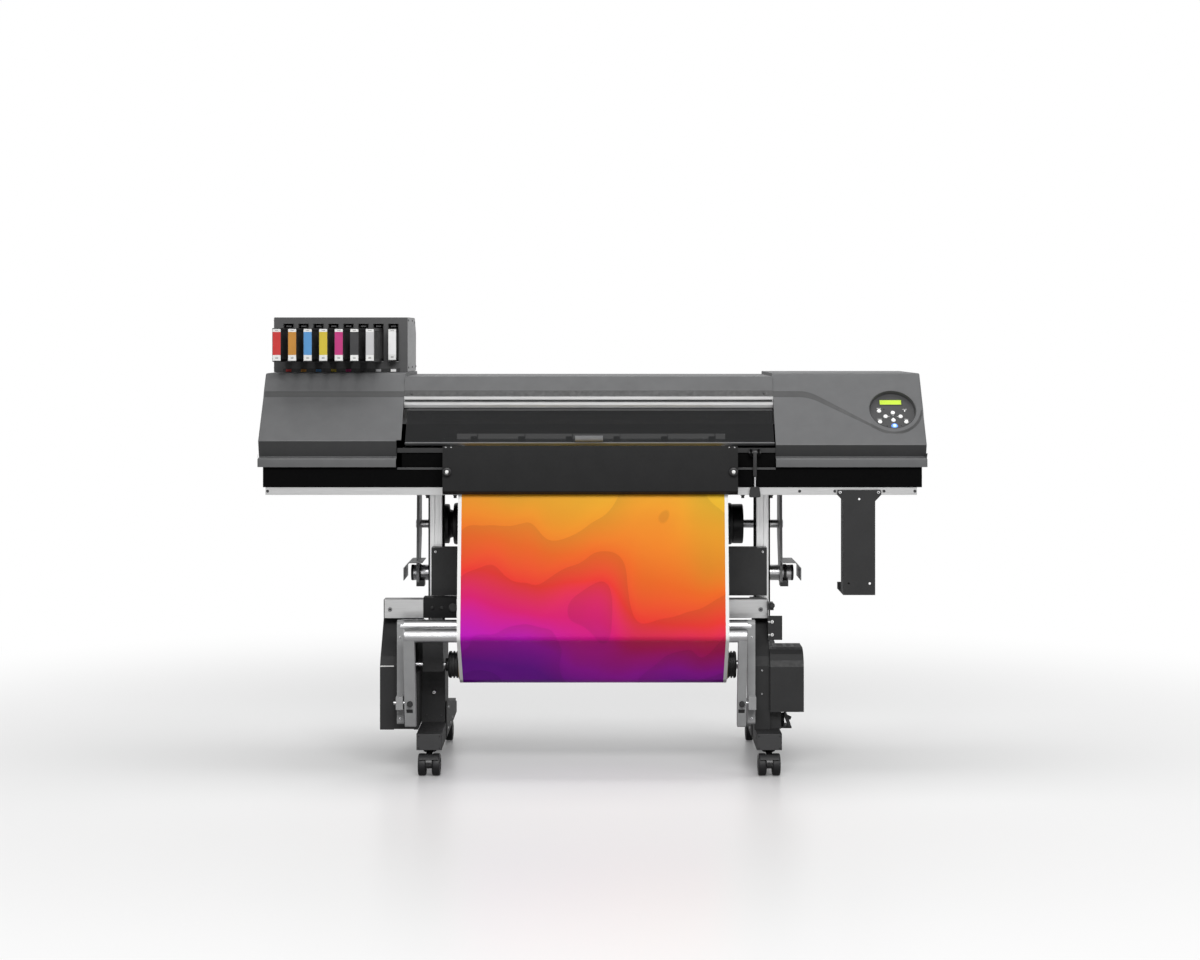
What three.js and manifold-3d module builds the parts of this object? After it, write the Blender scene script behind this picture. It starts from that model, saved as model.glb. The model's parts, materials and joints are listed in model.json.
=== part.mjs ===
// Wide-format roll printer and cutter on a wheeled stand with a take-up unit.
// Millimetres, X to the right seen from the front, Y to the back, Z up from the floor.
// Inside the machine group, Y = 0 is the front lip of the covers.
import * as THREE from 'three';
import { mergeVertices } from 'three/addons/utils/BufferGeometryUtils.js';
import Module from 'manifold-3d';

const wasm = await Module();
wasm.setup();

// ---- driving dimensions --------------------------------------------------------------------
const GAP = 0.3; // clearance kept between pieces that touch
const SIDE = 952.5; // outer face of both covers
const BODY_REAR = 600; // rear face of the covers
const WALL = 3; // thickness of covers and sheet parts

const COVER = { left: -545, right: 522, lip: 871, lipTop: 896, faceY: 10, topY: 170, top: 1135 };
const LEFT_FACE_LOW = 948; // lower edge of the left cover's slanted face
const RIGHT_FACE_LOW = 937; // lower edge of the right cover's slanted face

const PAN = { half: 938, front: 12, rear: 576, low: 813 };
const BULKHEAD = { front: 569, rear: 573, top: 1068.5 };
const BED = { top: 925, front: 18, left: -415, right: 403, bend: 20, lipFront: -22, rear: 600 };
const WEB = { left: -379, right: 383, thick: 0.8 };
const RAIL = { front: 216, rear: 262, low: 985, top: 1030, half: 890 };

const WINDOW = { topY: 112, topZ: 1033, lowY: 20, lowZ: 937, thick: 4 };
const PANEL = { x: 864, y: 87.2, radius: 67.4 };

const LEG = { left: -461.4, right: 499.9 };
const FOOT = { width: 71, low: 74, top: 120, front: -40, rear: 612 };
const CASTER = { radius: 31, half: 31.5, trail: 22, frontY: -1, rearY: 569 };
const HOUSING = { front: 24, rear: 152, low: FOOT.top + 1, bend: 302 };
const TAKEUP = { beamTop: 483.5, beamLow: 430, rollY: 60, rollZ: 302, rollRadius: 51.5 };
const PIPE_RADIUS = 18.75;
const FRONT_PIPE = { y: -93, z: 404 };
const UPPER_PIPE = { y: 0, z: 419 };
const DANCER_PIVOT = { y: -40, z: 208 };
const SUPPLY = { y: 500, z: 670, radius: 55 };
const REAR_PIPE = { y: 450, z: 526, radius: 23.5 };
const INK = { left: -951.5, right: -553.5, front: 340, rear: 645, low: COVER.top + GAP, top: 1299 };
const SLOT = { first: -908.5, pitch: 44.7, count: 8, width: 32, low: 1168, top: 1280, depth: 160 };
const CARTRIDGE = { width: 25, low: 1168.5, height: 98, long: 260, short: 42, inside: 148 };

// The middle of the machine's depth, between the media on the front pipe and the ink unit's back.
const FOREMOST = FRONT_PIPE.y - PIPE_RADIUS - GAP - WEB.thick;
const DEPTH_CENTRE = (INK.rear + FOREMOST) / 2;

// ---- finishes --------------------------------------------------------------------------------
const COVER_GREY = { color: 0x767779, roughness: 0.55, metalness: 0 };
const DARK_GREY = { color: 0x343436, roughness: 0.5, metalness: 0 };
const BLACK = { color: 0x0c0c0d, roughness: 0.45, metalness: 0 };
const STEEL_GREY = { color: 0x8a8a8c, roughness: 0.45, metalness: 0.6 };
const ALUMINIUM = { color: 0xbababc, roughness: 0.35, metalness: 0.9 };
const DARK_STEEL = { color: 0x3a3a3c, roughness: 0.5, metalness: 0.3 };
const SMOKED = { color: 0x2a2c2e, roughness: 0.1, metalness: 0, transparent: true, opacity: 0.6 };
const WHITE_PLASTIC = { color: 0xe8e8e6, roughness: 0.4, metalness: 0 };
const BLUE_PLASTIC = { color: 0x4a8df0, roughness: 0.3, metalness: 0 };
const PAPER = { color: 0xf2f0ea, roughness: 0.7, metalness: 0 };
const TYRE = { color: 0x17171a, roughness: 0.7, metalness: 0 };

// ---- geometry helpers ------------------------------------------------------------------------
const ALONG_X = new THREE.Matrix4().makeBasis(
  new THREE.Vector3(0, 1, 0), new THREE.Vector3(0, 0, 1), new THREE.Vector3(1, 0, 0));

function block(x0, x1, y0, y1, z0, z1) {
  const box = new THREE.BoxGeometry(x1 - x0, y1 - y0, z1 - z0);
  return box.translate((x0 + x1) / 2, (y0 + y1) / 2, (z0 + z1) / 2);
}

// A solid whose outline in Y and Z is the same from x0 to x1; holes are { y, z, radius }.
function prismX(outline, x0, x1, holes = []) {
  const shape = new THREE.Shape(outline.map(([y, z]) => new THREE.Vector2(y, z)));
  for (const hole of holes) {
    shape.holes.push(new THREE.Path().absarc(hole.y, hole.z, hole.radius, 0, Math.PI * 2, true));
  }
  const solid = new THREE.ExtrudeGeometry(shape, { depth: x1 - x0, bevelEnabled: false, curveSegments: 10 });
  return solid.applyMatrix4(ALONG_X).translate(x0, 0, 0);
}

// A round bar along X.
function rodX(radius, x0, x1, y, z, segments = 24) {
  const rod = new THREE.CylinderGeometry(radius, radius, x1 - x0, segments);
  return rod.rotateZ(-Math.PI / 2).translate((x0 + x1) / 2, y, z);
}

// A turned part along X from [x, radius] pairs that start and end on the axis.
function turnedX(profile, y, z, segments = 24) {
  const points = profile.map(([x, radius]) => new THREE.Vector2(radius, x));
  return new THREE.LatheGeometry(points, segments).rotateZ(-Math.PI / 2).translate(0, y, z);
}

function toSolid(geometry) {
  const bare = geometry.clone();
  bare.deleteAttribute('normal');
  bare.deleteAttribute('uv');
  const merged = mergeVertices(bare, 1e-4);
  return new wasm.Manifold(new wasm.Mesh({
    numProp: 3,
    vertProperties: new Float32Array(merged.attributes.position.array),
    triVerts: new Uint32Array(merged.index.array),
  }));
}

function toGeometry(solid) {
  const mesh = solid.getMesh();
  const geometry = new THREE.BufferGeometry();
  geometry.setAttribute('position', new THREE.BufferAttribute(mesh.vertProperties, 3));
  geometry.setIndex(new THREE.BufferAttribute(mesh.triVerts, 1));
  geometry.computeVertexNormals();
  return geometry;
}

function join(...pieces) {
  return toGeometry(pieces.map(toSolid).reduce((whole, piece) => whole.add(piece)));
}

function cut(body, ...tools) {
  return toGeometry(tools.map(toSolid).reduce((left, tool) => left.subtract(tool), toSolid(body)));
}

// Points of an arc in Y and Z, from one angle to another in degrees (0 points to the back).
function arc(y, z, radius, from, to, steps) {
  const points = [];
  for (let i = 0; i <= steps; i += 1) {
    const angle = THREE.MathUtils.degToRad(from + (to - from) * i / steps);
    points.push([y + radius * Math.cos(angle), z + radius * Math.sin(angle)]);
  }
  return points;
}

// The outline moved inwards by a distance; the outline runs anticlockwise seen along -X.
function inset(outline, distance) {
  return outline.map((point, i) => {
    const here = new THREE.Vector2(...point);
    const before = new THREE.Vector2(...outline.at(i - 1));
    const after = new THREE.Vector2(...outline[(i + 1) % outline.length]);
    const into = here.clone().sub(before).normalize();
    const out = after.clone().sub(here).normalize();
    const normalIn = new THREE.Vector2(-into.y, into.x);
    const normalOut = new THREE.Vector2(-out.y, out.x);
    const bisector = normalIn.clone().add(normalOut).normalize();
    const moved = here.addScaledVector(bisector, distance / bisector.dot(normalIn));
    return [moved.x, moved.y];
  });
}

// A strip of even thickness that follows a line in Y and Z, with the thickness on its left side.
function strip(line, thickness, x0, x1) {
  const left = line.map((point, i) => {
    const here = new THREE.Vector2(...point);
    const before = new THREE.Vector2(...line[Math.max(i - 1, 0)]);
    const after = new THREE.Vector2(...line[Math.min(i + 1, line.length - 1)]);
    const along = after.sub(before).normalize();
    return [here.x - along.y * thickness, here.y + along.x * thickness];
  });
  return prismX([...line, ...left.reverse()], x0, x1);
}

const machine = new THREE.Group();
machine.position.y = -DEPTH_CENTRE;

function place(name, geometry, finish, parent = machine) {
  const mesh = new THREE.Mesh(geometry, new THREE.MeshStandardMaterial(finish));
  mesh.name = name;
  parent.add(mesh);
  return mesh;
}

// ---- covers ----------------------------------------------------------------------------------
// Side view of an end cover: lip, set-back band, slanted face, flat top and rear wall.
function coverOutline(faceLow) {
  const bandY = 28;
  return [
    [0, COVER.lip], [BODY_REAR, COVER.lip], [BODY_REAR, COVER.top], [COVER.topY, COVER.top],
    [COVER.faceY, faceLow], [bandY, COVER.lipTop + 2], [0, COVER.lipTop],
  ];
}

// The hollow inside an end cover, running out through its open bottom.
function coverHollow(faceLow, x0, x1) {
  const inner = inset(coverOutline(faceLow), WALL);
  inner[0][1] = COVER.lip - 1;
  inner[1][1] = COVER.lip - 1;
  return prismX(inner, x0, x1);
}

function leftCover() {
  const shell = prismX(coverOutline(LEFT_FACE_LOW), -SIDE, COVER.left);
  return cut(shell, coverHollow(LEFT_FACE_LOW, -SIDE + WALL, COVER.left + 1));
}

const panelSlope = Math.atan2(COVER.top - RIGHT_FACE_LOW, COVER.topY - COVER.faceY);
const panelZ = RIGHT_FACE_LOW + (PANEL.y - COVER.faceY) * Math.tan(panelSlope);

// A short cylinder square to the slanted face, centred on the control panel.
function panelPlug(radius, depth) {
  const plug = new THREE.CylinderGeometry(radius, radius, depth, 48).rotateX(Math.PI / 2);
  return plug.rotateX(panelSlope).translate(PANEL.x, PANEL.y, panelZ);
}

function rightCover() {
  const shell = prismX(coverOutline(RIGHT_FACE_LOW), COVER.right, SIDE);
  const hollow = coverHollow(RIGHT_FACE_LOW, COVER.right - 1, SIDE - WALL);
  return cut(shell, hollow, panelPlug(PANEL.radius + GAP, 20));
}

function topCover() {
  const wall = 2.5;
  const low = 1069;
  const high = 1126;
  const front = 122;
  const outline = [
    [front, low], [front + wall, low], [front + 8.5, 1085], [front + 29.5, high - wall],
    [BODY_REAR - wall, high - wall], [BODY_REAR - wall, low], [BODY_REAR, low], [BODY_REAR, high],
    [front + 28, high], [front + 6, 1086],
  ];
  return prismX(outline, COVER.left + GAP, COVER.right - GAP);
}

// The silver extrusion over the window, carried by two arms from the rear bulkhead.
function topFrame() {
  const low = 1036;
  const high = 1068.6;
  const rear = 150;
  const bar = [
    [118, low], [rear, low], [rear, high], [117, high], [117, 1060], [120, 1059], [120, 1054],
    [116, 1052], [116, 1044],
  ];
  const arms = [COVER.left + 4, COVER.right - 24].map(
    (x) => block(x, x + 20, rear - 1, BULKHEAD.front - GAP, high - 18, high - 1));
  return join(prismX(bar, COVER.left + GAP, COVER.right - GAP), ...arms);
}

place('left_cover', leftCover(), COVER_GREY);
place('right_cover', rightCover(), COVER_GREY);
place('top_cover', topCover(), COVER_GREY);
place('top_frame', topFrame(), ALUMINIUM);

// ---- window cover ----------------------------------------------------------------------------
const windowDown = new THREE.Vector2(WINDOW.lowY - WINDOW.topY, WINDOW.lowZ - WINDOW.topZ);
const windowLength = windowDown.length();
windowDown.normalize();
const windowOut = new THREE.Vector2(windowDown.y, -windowDown.x);

// A point a distance down the window from its hinge edge and proud of its outer face.
function onWindow(down, proud) {
  return [
    WINDOW.topY + windowDown.x * down + windowOut.x * proud,
    WINDOW.topZ + windowDown.y * down + windowOut.y * proud,
  ];
}

// The tinted pane with its stiffening edge and the grip bar along its lower middle.
function windowCover() {
  const outline = [
    onWindow(0, 0), onWindow(windowLength, 0), onWindow(windowLength, -WINDOW.thick - 5),
    onWindow(windowLength - 3, -WINDOW.thick - 5), onWindow(windowLength - 3, -WINDOW.thick),
    onWindow(0, -WINDOW.thick),
  ].reverse();
  const grip = [
    onWindow(windowLength - 24, -1), onWindow(windowLength - 5, -1),
    onWindow(windowLength - 5, 7), onWindow(windowLength - 12, 12), onWindow(windowLength - 24, 8),
  ].reverse();
  return join(prismX(outline, COVER.left + 10, COVER.right - 3), prismX(grip, -50, 30));
}
place('window_cover', windowCover(), SMOKED);

// ---- chassis and bed -------------------------------------------------------------------------
function chassis() {
  const pan = cut(
    block(-PAN.half, PAN.half, PAN.front, PAN.rear, PAN.low, COVER.lip - GAP),
    block(-PAN.half + WALL, PAN.half - WALL, PAN.front + WALL, PAN.rear - WALL, PAN.low + WALL, 900));
  const sideBeds = [[COVER.left + 2, BED.left - 1], [BED.right + 1, COVER.right - 2]].map(
    ([x0, x1]) => block(x0, x1, BED.front, BULKHEAD.front + 1, PAN.low + 1, BED.top));
  const hollows = [[COVER.left - 1, BED.left - 5], [BED.right + 5, COVER.right + 1]].map(
    ([x0, x1]) => block(x0, x1, BED.front + WALL, BULKHEAD.front - 4, PAN.low + WALL, BED.top - WALL));
  const bulkhead = block(-930, 930, BULKHEAD.front, BULKHEAD.rear, PAN.low + 1, BULKHEAD.top);
  const webSlot = block(BED.left - 5, BED.right + 5, BULKHEAD.front - 2, PAN.rear + 1,
    COVER.lip - GAP, 948);
  const journals = block(-436, 424, 229, 241, 907, BED.top + 1);
  const posts = [-432, 418].map((x) => cut(
    block(x, x + 6, 256, 286, BED.top - 1, 974), rodX(4.4, x - 1, x + 7, 270, 961, 16)));
  const lugs = [448, 470].map((x) => cut(
    block(x, x + 5, -8, BED.front + 2, 902, 922), rodX(4.4, x - 1, x + 6, 0, 912, 16)));
  return cut(join(pan, ...sideBeds, bulkhead, ...posts, ...lugs), ...hollows, webSlot, journals);
}

function platen() {
  const radius = BED.bend;
  const skin = 5;
  const low = BED.top - radius;
  const front = BED.lipFront + radius;
  const rear = BED.rear - radius;
  const section = [
    ...arc(rear, low, radius, 0, 90, 6), ...arc(front, low, radius, 90, 180, 6),
    ...arc(front, low, radius - skin, 180, 90, 6), ...arc(rear, low, radius - skin, 90, 0, 6),
  ];
  const ribs = [-330, 0, 320].map(
    (x) => block(x, x + 6, 30, BULKHEAD.front - 20, PAN.low + WALL + GAP, BED.top - 2));
  const rollerSlot = block(BED.left - 1, BED.right + 1, 221, 249, 895, 930);
  return cut(join(prismX(section, BED.left, BED.right), ...ribs), rollerSlot);
}

place('chassis', chassis(), BLACK);
place('platen', platen(), STEEL_GREY);
place('front_rail', block(-931, 924, 14, 44, 791, PAN.low - GAP), ALUMINIUM);

const rollerRadius = 12;
const rollerZ = BED.top - rollerRadius;
const gritProfile = [
  [-434, 0], [-434, 5], [-408, 5], [-408, rollerRadius], [396, rollerRadius], [396, 5], [422, 5], [422, 0],
];
place('grit_roller', turnedX(gritProfile, 235, rollerZ, 24), STEEL_GREY);

function pinchBar() {
  const wheelRadius = 11;
  const wheelZ = BED.top + GAP + WEB.thick + GAP + wheelRadius;
  const bar = rodX(4, -431.7, 423.7, 270, 961, 16);
  const beam = block(-424, 416, 262, 278, 955, 967);
  const wheels = [];
  for (let x = -350; x <= 350; x += 140) {
    wheels.push(rodX(wheelRadius, x - 9, x + 9, 235, wheelZ, 16));
    wheels.push(block(x - 4, x + 4, 234, 264, wheelZ + 4, 962));
  }
  return join(bar, beam, ...wheels);
}
place('pinch_roller_bar', pinchBar(), STEEL_GREY);

function capping() {
  const base = block(640, 780, 110, 200, PAN.low + WALL + GAP, 918);
  const caps = [660, 700, 740].map((x) => block(x, x + 22, 125, 185, 917, 928));
  return join(base, ...caps);
}
place('capping_station', capping(), DARK_GREY);

// ---- carriages -------------------------------------------------------------------------------
function guideRail() {
  const bar = cut(
    block(-RAIL.half, RAIL.half, RAIL.front, RAIL.rear, RAIL.low, RAIL.top),
    block(-RAIL.half - 1, RAIL.half + 1, RAIL.front - 1, RAIL.front + 8, 1002, 1012));
  const brackets = [-870, -290, 270, 850].map(
    (x) => block(x, x + 20, RAIL.rear - 1, BULKHEAD.front - GAP, 1000, 1018));
  return join(bar, ...brackets);
}

function driveBelt() {
  const half = 860;
  const outer = new THREE.Shape();
  outer.absarc(half, 0, 16, -Math.PI / 2, Math.PI / 2, false);
  outer.absarc(-half, 0, 16, Math.PI / 2, Math.PI * 1.5, false);
  const inner = new THREE.Path();
  inner.absarc(half, 0, 14, Math.PI / 2, -Math.PI / 2, true);
  inner.absarc(-half, 0, 14, -Math.PI / 2, Math.PI / 2, true);
  outer.holes.push(inner);
  const belt = new THREE.ExtrudeGeometry(outer, { depth: 8, bevelEnabled: false, curveSegments: 6 });
  return belt.translate(0, 239, 1037);
}

function printCarriage() {
  const body = [
    [100, 932], [RAIL.front - 4, 932], [RAIL.front - 4, 1029], [140, 1029], [100, 985],
  ];
  const lamps = [block(592, 622, 112, 190, 938, 1000), block(798, 828, 112, 190, 938, 1000)];
  const clip = block(700, 720, 200, 252, RAIL.top + 1, 1036.5);
  const neck = block(700, 720, 200, RAIL.front - 4, 1020, 1034);
  return join(prismX(body, 620, 800), ...lamps, neck, clip);
}

function cuttingCarriage() {
  const body = block(-760, -670, 120, RAIL.front - 4, 936, 1028);
  const holder = new THREE.CylinderGeometry(9, 9, 80, 16).rotateX(Math.PI / 2).translate(-715, 110, 970);
  const blade = new THREE.CylinderGeometry(5, 3, 34, 16).rotateX(Math.PI / 2).translate(-715, 110, 945);
  const arm = block(-730, -700, 104, 124, 960, 1000);
  return join(body, holder, blade, arm);
}

place('guide_rail', guideRail(), ALUMINIUM);
place('drive_belt', driveBelt(), BLACK);
place('print_carriage', printCarriage(), BLACK);
place('cutting_carriage', cuttingCarriage(), DARK_GREY);

// ---- apron -----------------------------------------------------------------------------------
function apron() {
  const left = -422;
  const right = 410;
  const sheet = strip(
    [[-70, 798], [-62, 806], [-62, 870], [-46, 934]], WALL, left, right);
  const sides = [left, right - WALL].map((x) => prismX(
    [[-61, 812], [BED.front - GAP, 880], [BED.front - GAP, 912], [-47, 932], [-61, 870]], x, x + WALL));
  const knobs = [left + 13, right - 13].map((x) => {
    const knob = new THREE.CylinderGeometry(12, 12, 16, 20);
    return knob.translate(x, -68, 862);
  });
  return join(sheet, ...sides, ...knobs);
}
place('front_apron', apron(), DARK_GREY);

// ---- control panel ---------------------------------------------------------------------------
const panel = new THREE.Group();
panel.position.set(PANEL.x, PANEL.y, panelZ);
panel.rotation.x = panelSlope;
machine.add(panel);

const BUTTON = { radius: 6.2, low: -20, top: -9.5 };
const arrows = { x: 1, y: -17.3, across: 21.6, along: 13.4 };
const corners = { across: 38, upper: 2.2, lower: -36.6 };
const BUTTONS = [
  ['button_up', arrows.x, arrows.y + arrows.along],
  ['button_down', arrows.x, arrows.y - arrows.along],
  ['button_left', arrows.x - arrows.across, arrows.y],
  ['button_right', arrows.x + arrows.across, arrows.y],
  ['button_menu', -corners.across, corners.upper],
  ['button_pause', -corners.across, corners.lower],
  ['button_enter', corners.across, corners.lower],
  ['button_power', 3, -51.3],
];

function bezel() {
  const plate = new THREE.Shape().absarc(0, 0, PANEL.radius, 0, Math.PI * 2, false);
  for (const [, x, y] of BUTTONS) {
    plate.holes.push(new THREE.Path().absarc(x, y, BUTTON.radius + 0.6, 0, Math.PI * 2, true));
  }
  const rim = new THREE.Shape().absarc(0, 0, PANEL.radius, 0, Math.PI * 2, false);
  rim.holes.push(new THREE.Path().absarc(0, 0, PANEL.radius - 2.5, 0, Math.PI * 2, true));
  const settings = { bevelEnabled: false, curveSegments: 8 };
  const flat = new THREE.ExtrudeGeometry(plate, { ...settings, depth: 4 }).translate(0, 0, -16);
  const wall = new THREE.ExtrudeGeometry(rim, { ...settings, depth: 15 }).translate(0, 0, -14);
  return join(flat, wall);
}
place('panel_bezel', bezel(), DARK_GREY, panel);

for (const [name, x, y] of BUTTONS) {
  const height = BUTTON.top - BUTTON.low;
  const cap = new THREE.CylinderGeometry(BUTTON.radius, BUTTON.radius, height, 16);
  cap.rotateX(Math.PI / 2).translate(x, y, (BUTTON.top + BUTTON.low) / 2);
  place(name, cap, name === 'button_power' ? BLUE_PLASTIC : WHITE_PLASTIC, panel);
}

// ---- media lever and drain bracket -----------------------------------------------------------
function mediaLever() {
  const pin = rodX(4, 447, 476, 0, 912, 16);
  const stem = block(456.5, 466.5, -4, 4, 846, 919);
  const rod = block(459, 464, -2.5, 2.5, 808, 848);
  const paddle = new THREE.Shape([
    new THREE.Vector2(449, 814), new THREE.Vector2(444.5, 785),
    new THREE.Vector2(478.5, 785), new THREE.Vector2(474, 814),
  ]);
  const grip = new THREE.ExtrudeGeometry(paddle, { depth: 7, bevelEnabled: false });
  return join(pin, stem, rod, grip.rotateX(Math.PI / 2).translate(0, 3.5, 0));
}
place('media_lever', mediaLever(), DARK_GREY);

function drainBracket() {
  const left = 713;
  const right = 804;
  const front = 4;
  const low = 507;
  const plate = block(left, right, front, front + 2, low, 800);
  const ears = block(left - 17, right + 17, front, front + 2, 792, 806);
  const flange = block(left, left + 2, front, front + 65, low, 786);
  const shelf = block(left, right, front, front + 170, low, low + 2);
  const tab = block(left, right, front + 168, front + 170, low, low + 20);
  return join(plate, ears, flange, shelf, tab);
}
place('drain_bottle_bracket', drainBracket(), DARK_STEEL);

// ---- ink unit --------------------------------------------------------------------------------
function inkCase() {
  const chamfer = 45;
  const outline = [
    [INK.front, INK.low], [INK.rear, INK.low], [INK.rear, INK.top - chamfer],
    [INK.rear - chamfer, INK.top], [INK.front, INK.top],
  ];
  const slots = [];
  for (let i = 0; i < SLOT.count; i += 1) {
    const x = SLOT.first + SLOT.pitch * i;
    slots.push(block(x - SLOT.width / 2, x + SLOT.width / 2,
      INK.front - 1, INK.front + SLOT.depth, SLOT.low, SLOT.top));
  }
  return cut(prismX(outline, INK.left, INK.right), ...slots);
}
place('ink_unit_case', inkCase(), DARK_GREY);

for (let i = 0; i < SLOT.count; i += 1) {
  const x = SLOT.first + SLOT.pitch * i;
  const out = i < SLOT.count - 1 ? CARTRIDGE.long : CARTRIDGE.short;
  const shell = block(x - CARTRIDGE.width / 2, x + CARTRIDGE.width / 2,
    INK.front - out, INK.front + CARTRIDGE.inside, CARTRIDGE.low, CARTRIDGE.low + CARTRIDGE.height);
  place(`ink_cartridge_${i + 1}`, shell, BLACK);
}

// ---- stand -----------------------------------------------------------------------------------
function leg(x) {
  const post = block(x - 18.5, x + 18.5, 245, 300, FOOT.top + GAP, PAN.low - GAP);
  const shroud = block(x - 32.5, x + 32.5, 160, 300.5, FOOT.top + GAP, 350);
  return join(post, shroud);
}

function footBeam(x) {
  const half = FOOT.width / 2;
  const tube = block(x - half, x + half, FOOT.front, FOOT.rear, FOOT.low, FOOT.top);
  const inside = block(x - half + WALL, x + half - WALL,
    FOOT.front + WALL, FOOT.rear + 1, FOOT.low + WALL, FOOT.top - WALL);
  return cut(tube, inside);
}

for (const side of ['left', 'right']) {
  place(`${side}_leg`, leg(LEG[side]), ALUMINIUM);
  place(`${side}_foot_beam`, footBeam(LEG[side]), DARK_STEEL);
}

const crossBeam = { left: -472, right: 510, front: 200, rear: 245 - GAP, low: 483.8, top: 624 };
place('stand_cross_beam', cut(
  block(crossBeam.left, crossBeam.right, crossBeam.front, crossBeam.rear, crossBeam.low, crossBeam.top),
  block(crossBeam.left + WALL, crossBeam.right - WALL, crossBeam.front + WALL, crossBeam.rear + 1,
    crossBeam.low + WALL, crossBeam.top - WALL)), DARK_STEEL);

function takeupBeam() {
  const bar = block(-600, 503, 100, 150, TAKEUP.beamLow, TAKEUP.beamTop);
  const arms = [LEG.left, LEG.right - 20].map(
    (x) => block(x - 18, x + 18, 149, 245 - GAP, 440, 476));
  return join(bar, ...arms);
}
place('takeup_beam', takeupBeam(), ALUMINIUM);

// ---- casters ---------------------------------------------------------------------------------
function casterBody(x, y) {
  const axleY = y - CASTER.trail;
  const web = cut(
    prismX([[y + 10, 66], [y - 14, 66], [axleY - 12, 42], [axleY - 12, 22], [axleY + 12, 22],
      [y + 10, 50]], x - 6, x + 6),
    rodX(4.4, x - 7, x + 7, axleY, CASTER.radius, 16));
  const disc = new THREE.CylinderGeometry(19, 19, 6, 20).rotateX(Math.PI / 2).translate(x, y, 67.6);
  const stem = new THREE.CylinderGeometry(7, 7, 6, 16).rotateX(Math.PI / 2);
  stem.translate(x, y, FOOT.low - GAP - 3);
  return join(web, disc, stem);
}

function casterWheels(x, y) {
  const segments = 24;
  const r = CASTER.radius / Math.cos(Math.PI / segments);
  const outer = CASTER.half;
  const profile = [
    [-outer, 0], [-outer, r - 4], [-outer + 4, r], [-10, r], [-7, r - 3], [-7, 4], [7, 4],
    [7, r - 3], [10, r], [outer - 4, r], [outer, r - 4], [outer, 0],
  ].map(([along, radius]) => [x + along, radius]);
  const wheels = turnedX(profile, 0, 0, segments).rotateX(Math.PI / segments);
  return wheels.translate(0, y - CASTER.trail, CASTER.radius);
}

for (const side of ['left', 'right']) {
  for (const [end, y] of [['front', CASTER.frontY], ['rear', CASTER.rearY]]) {
    place(`caster_body_${end}_${side}`, casterBody(LEG[side], y), BLACK);
    place(`caster_wheels_${end}_${side}`, casterWheels(LEG[side], y), TYRE);
  }
}

// ---- take-up unit ----------------------------------------------------------------------------
// The side view of a take-up housing: upright in front, then leaning back to the beam above it.
function housingOutline(inset) {
  const front = HOUSING.front + inset;
  const rear = HOUSING.rear - inset;
  const top = TAKEUP.beamLow - GAP - inset;
  return [
    [front, HOUSING.low + inset], [rear, HOUSING.low + inset], [rear, top], [rear - 6, top],
    [front + 19, HOUSING.bend + 26], [front, HOUSING.bend],
  ];
}

function leftHousing() {
  const cover = prismX(housingOutline(0), -606, -566);
  const inside = prismX(housingOutline(1.5), -567, -509);
  return join(cover, inside);
}

function rightHousing() {
  const post = prismX(housingOutline(0), 462, 506.6);
  const motor = prismX([
    [8, 174], [HOUSING.rear, 174], [HOUSING.rear, 351], [62, 351], [44, 347], [26, 336], [13, 320],
    [8, HOUSING.bend],
  ], 506, 601.5);
  const column = block(505, 539, 40, 130, HOUSING.low, 200);
  const bracket = join(block(503.5, 544, 60, 66, 372, 441), block(503.5, 506.6, 60, 148, 372, 429));
  const foot = block(538, 570, 50, 120, HOUSING.low, HOUSING.low + 4);
  return join(post, motor, column, bracket, foot);
}
place('takeup_left_housing', leftHousing(), DARK_GREY);
place('takeup_right_housing', rightHousing(), DARK_GREY);

const flangeProfile = [
  [-508.7, 0], [-508.7, 12.5], [-421, 12.5], [-421, 18], [-412, 18], [-412, 39.5], [-390.5, 39.5],
  [-390.5, 37.8], [390.7, 37.8], [390.7, 39.5], [411, 39.5], [411, 12.5], [461.7, 12.5], [461.7, 0],
];
place('takeup_shaft', turnedX(flangeProfile, TAKEUP.rollY, TAKEUP.rollZ, 24), BLACK);

function hollowRoll(outer, inner, y, z) {
  const ring = new THREE.Shape().absarc(0, 0, outer, 0, Math.PI * 2, false);
  ring.holes.push(new THREE.Path().absarc(0, 0, inner, 0, Math.PI * 2, true));
  const depth = WEB.right - WEB.left;
  const roll = new THREE.ExtrudeGeometry(ring, { depth, bevelEnabled: false, curveSegments: 18 });
  return roll.applyMatrix4(ALONG_X).translate(WEB.left, y, z);
}
place('takeup_roll', hollowRoll(TAKEUP.rollRadius, 38.3, TAKEUP.rollY, TAKEUP.rollZ), PAPER);

// Two arms on the housings that carry the upper guide pipe and the dancer's pivots.
function upperGuide() {
  const { y, z } = DANCER_PIVOT;
  const outline = [[-18, 143], [18, 143], [18, UPPER_PIPE.z], [-18, UPPER_PIPE.z]];
  const arms = [[-557, -539], [434, 456]].map(([x0, x1]) => cut(
    join(prismX(outline, x0, x1), block(x0, x1, y - 16, 0, z - 18, z + 18)),
    rodX(5.6, x0 - 1, x1 + 1, y, z, 16)));
  const pads = [
    block(-556, -540, 17, HOUSING.front + 1.5 - GAP, 160, 240),
    block(455, 462 - GAP, 10, 40, 150, 200), block(455, 462 - GAP, 10, 40, 240, 280),
  ];
  const pipe = rodX(PIPE_RADIUS, -548, 445, UPPER_PIPE.y, UPPER_PIPE.z, 24);
  return join(...arms, ...pads, pipe);
}
place('upper_guide', upperGuide(), STEEL_GREY);

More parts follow.
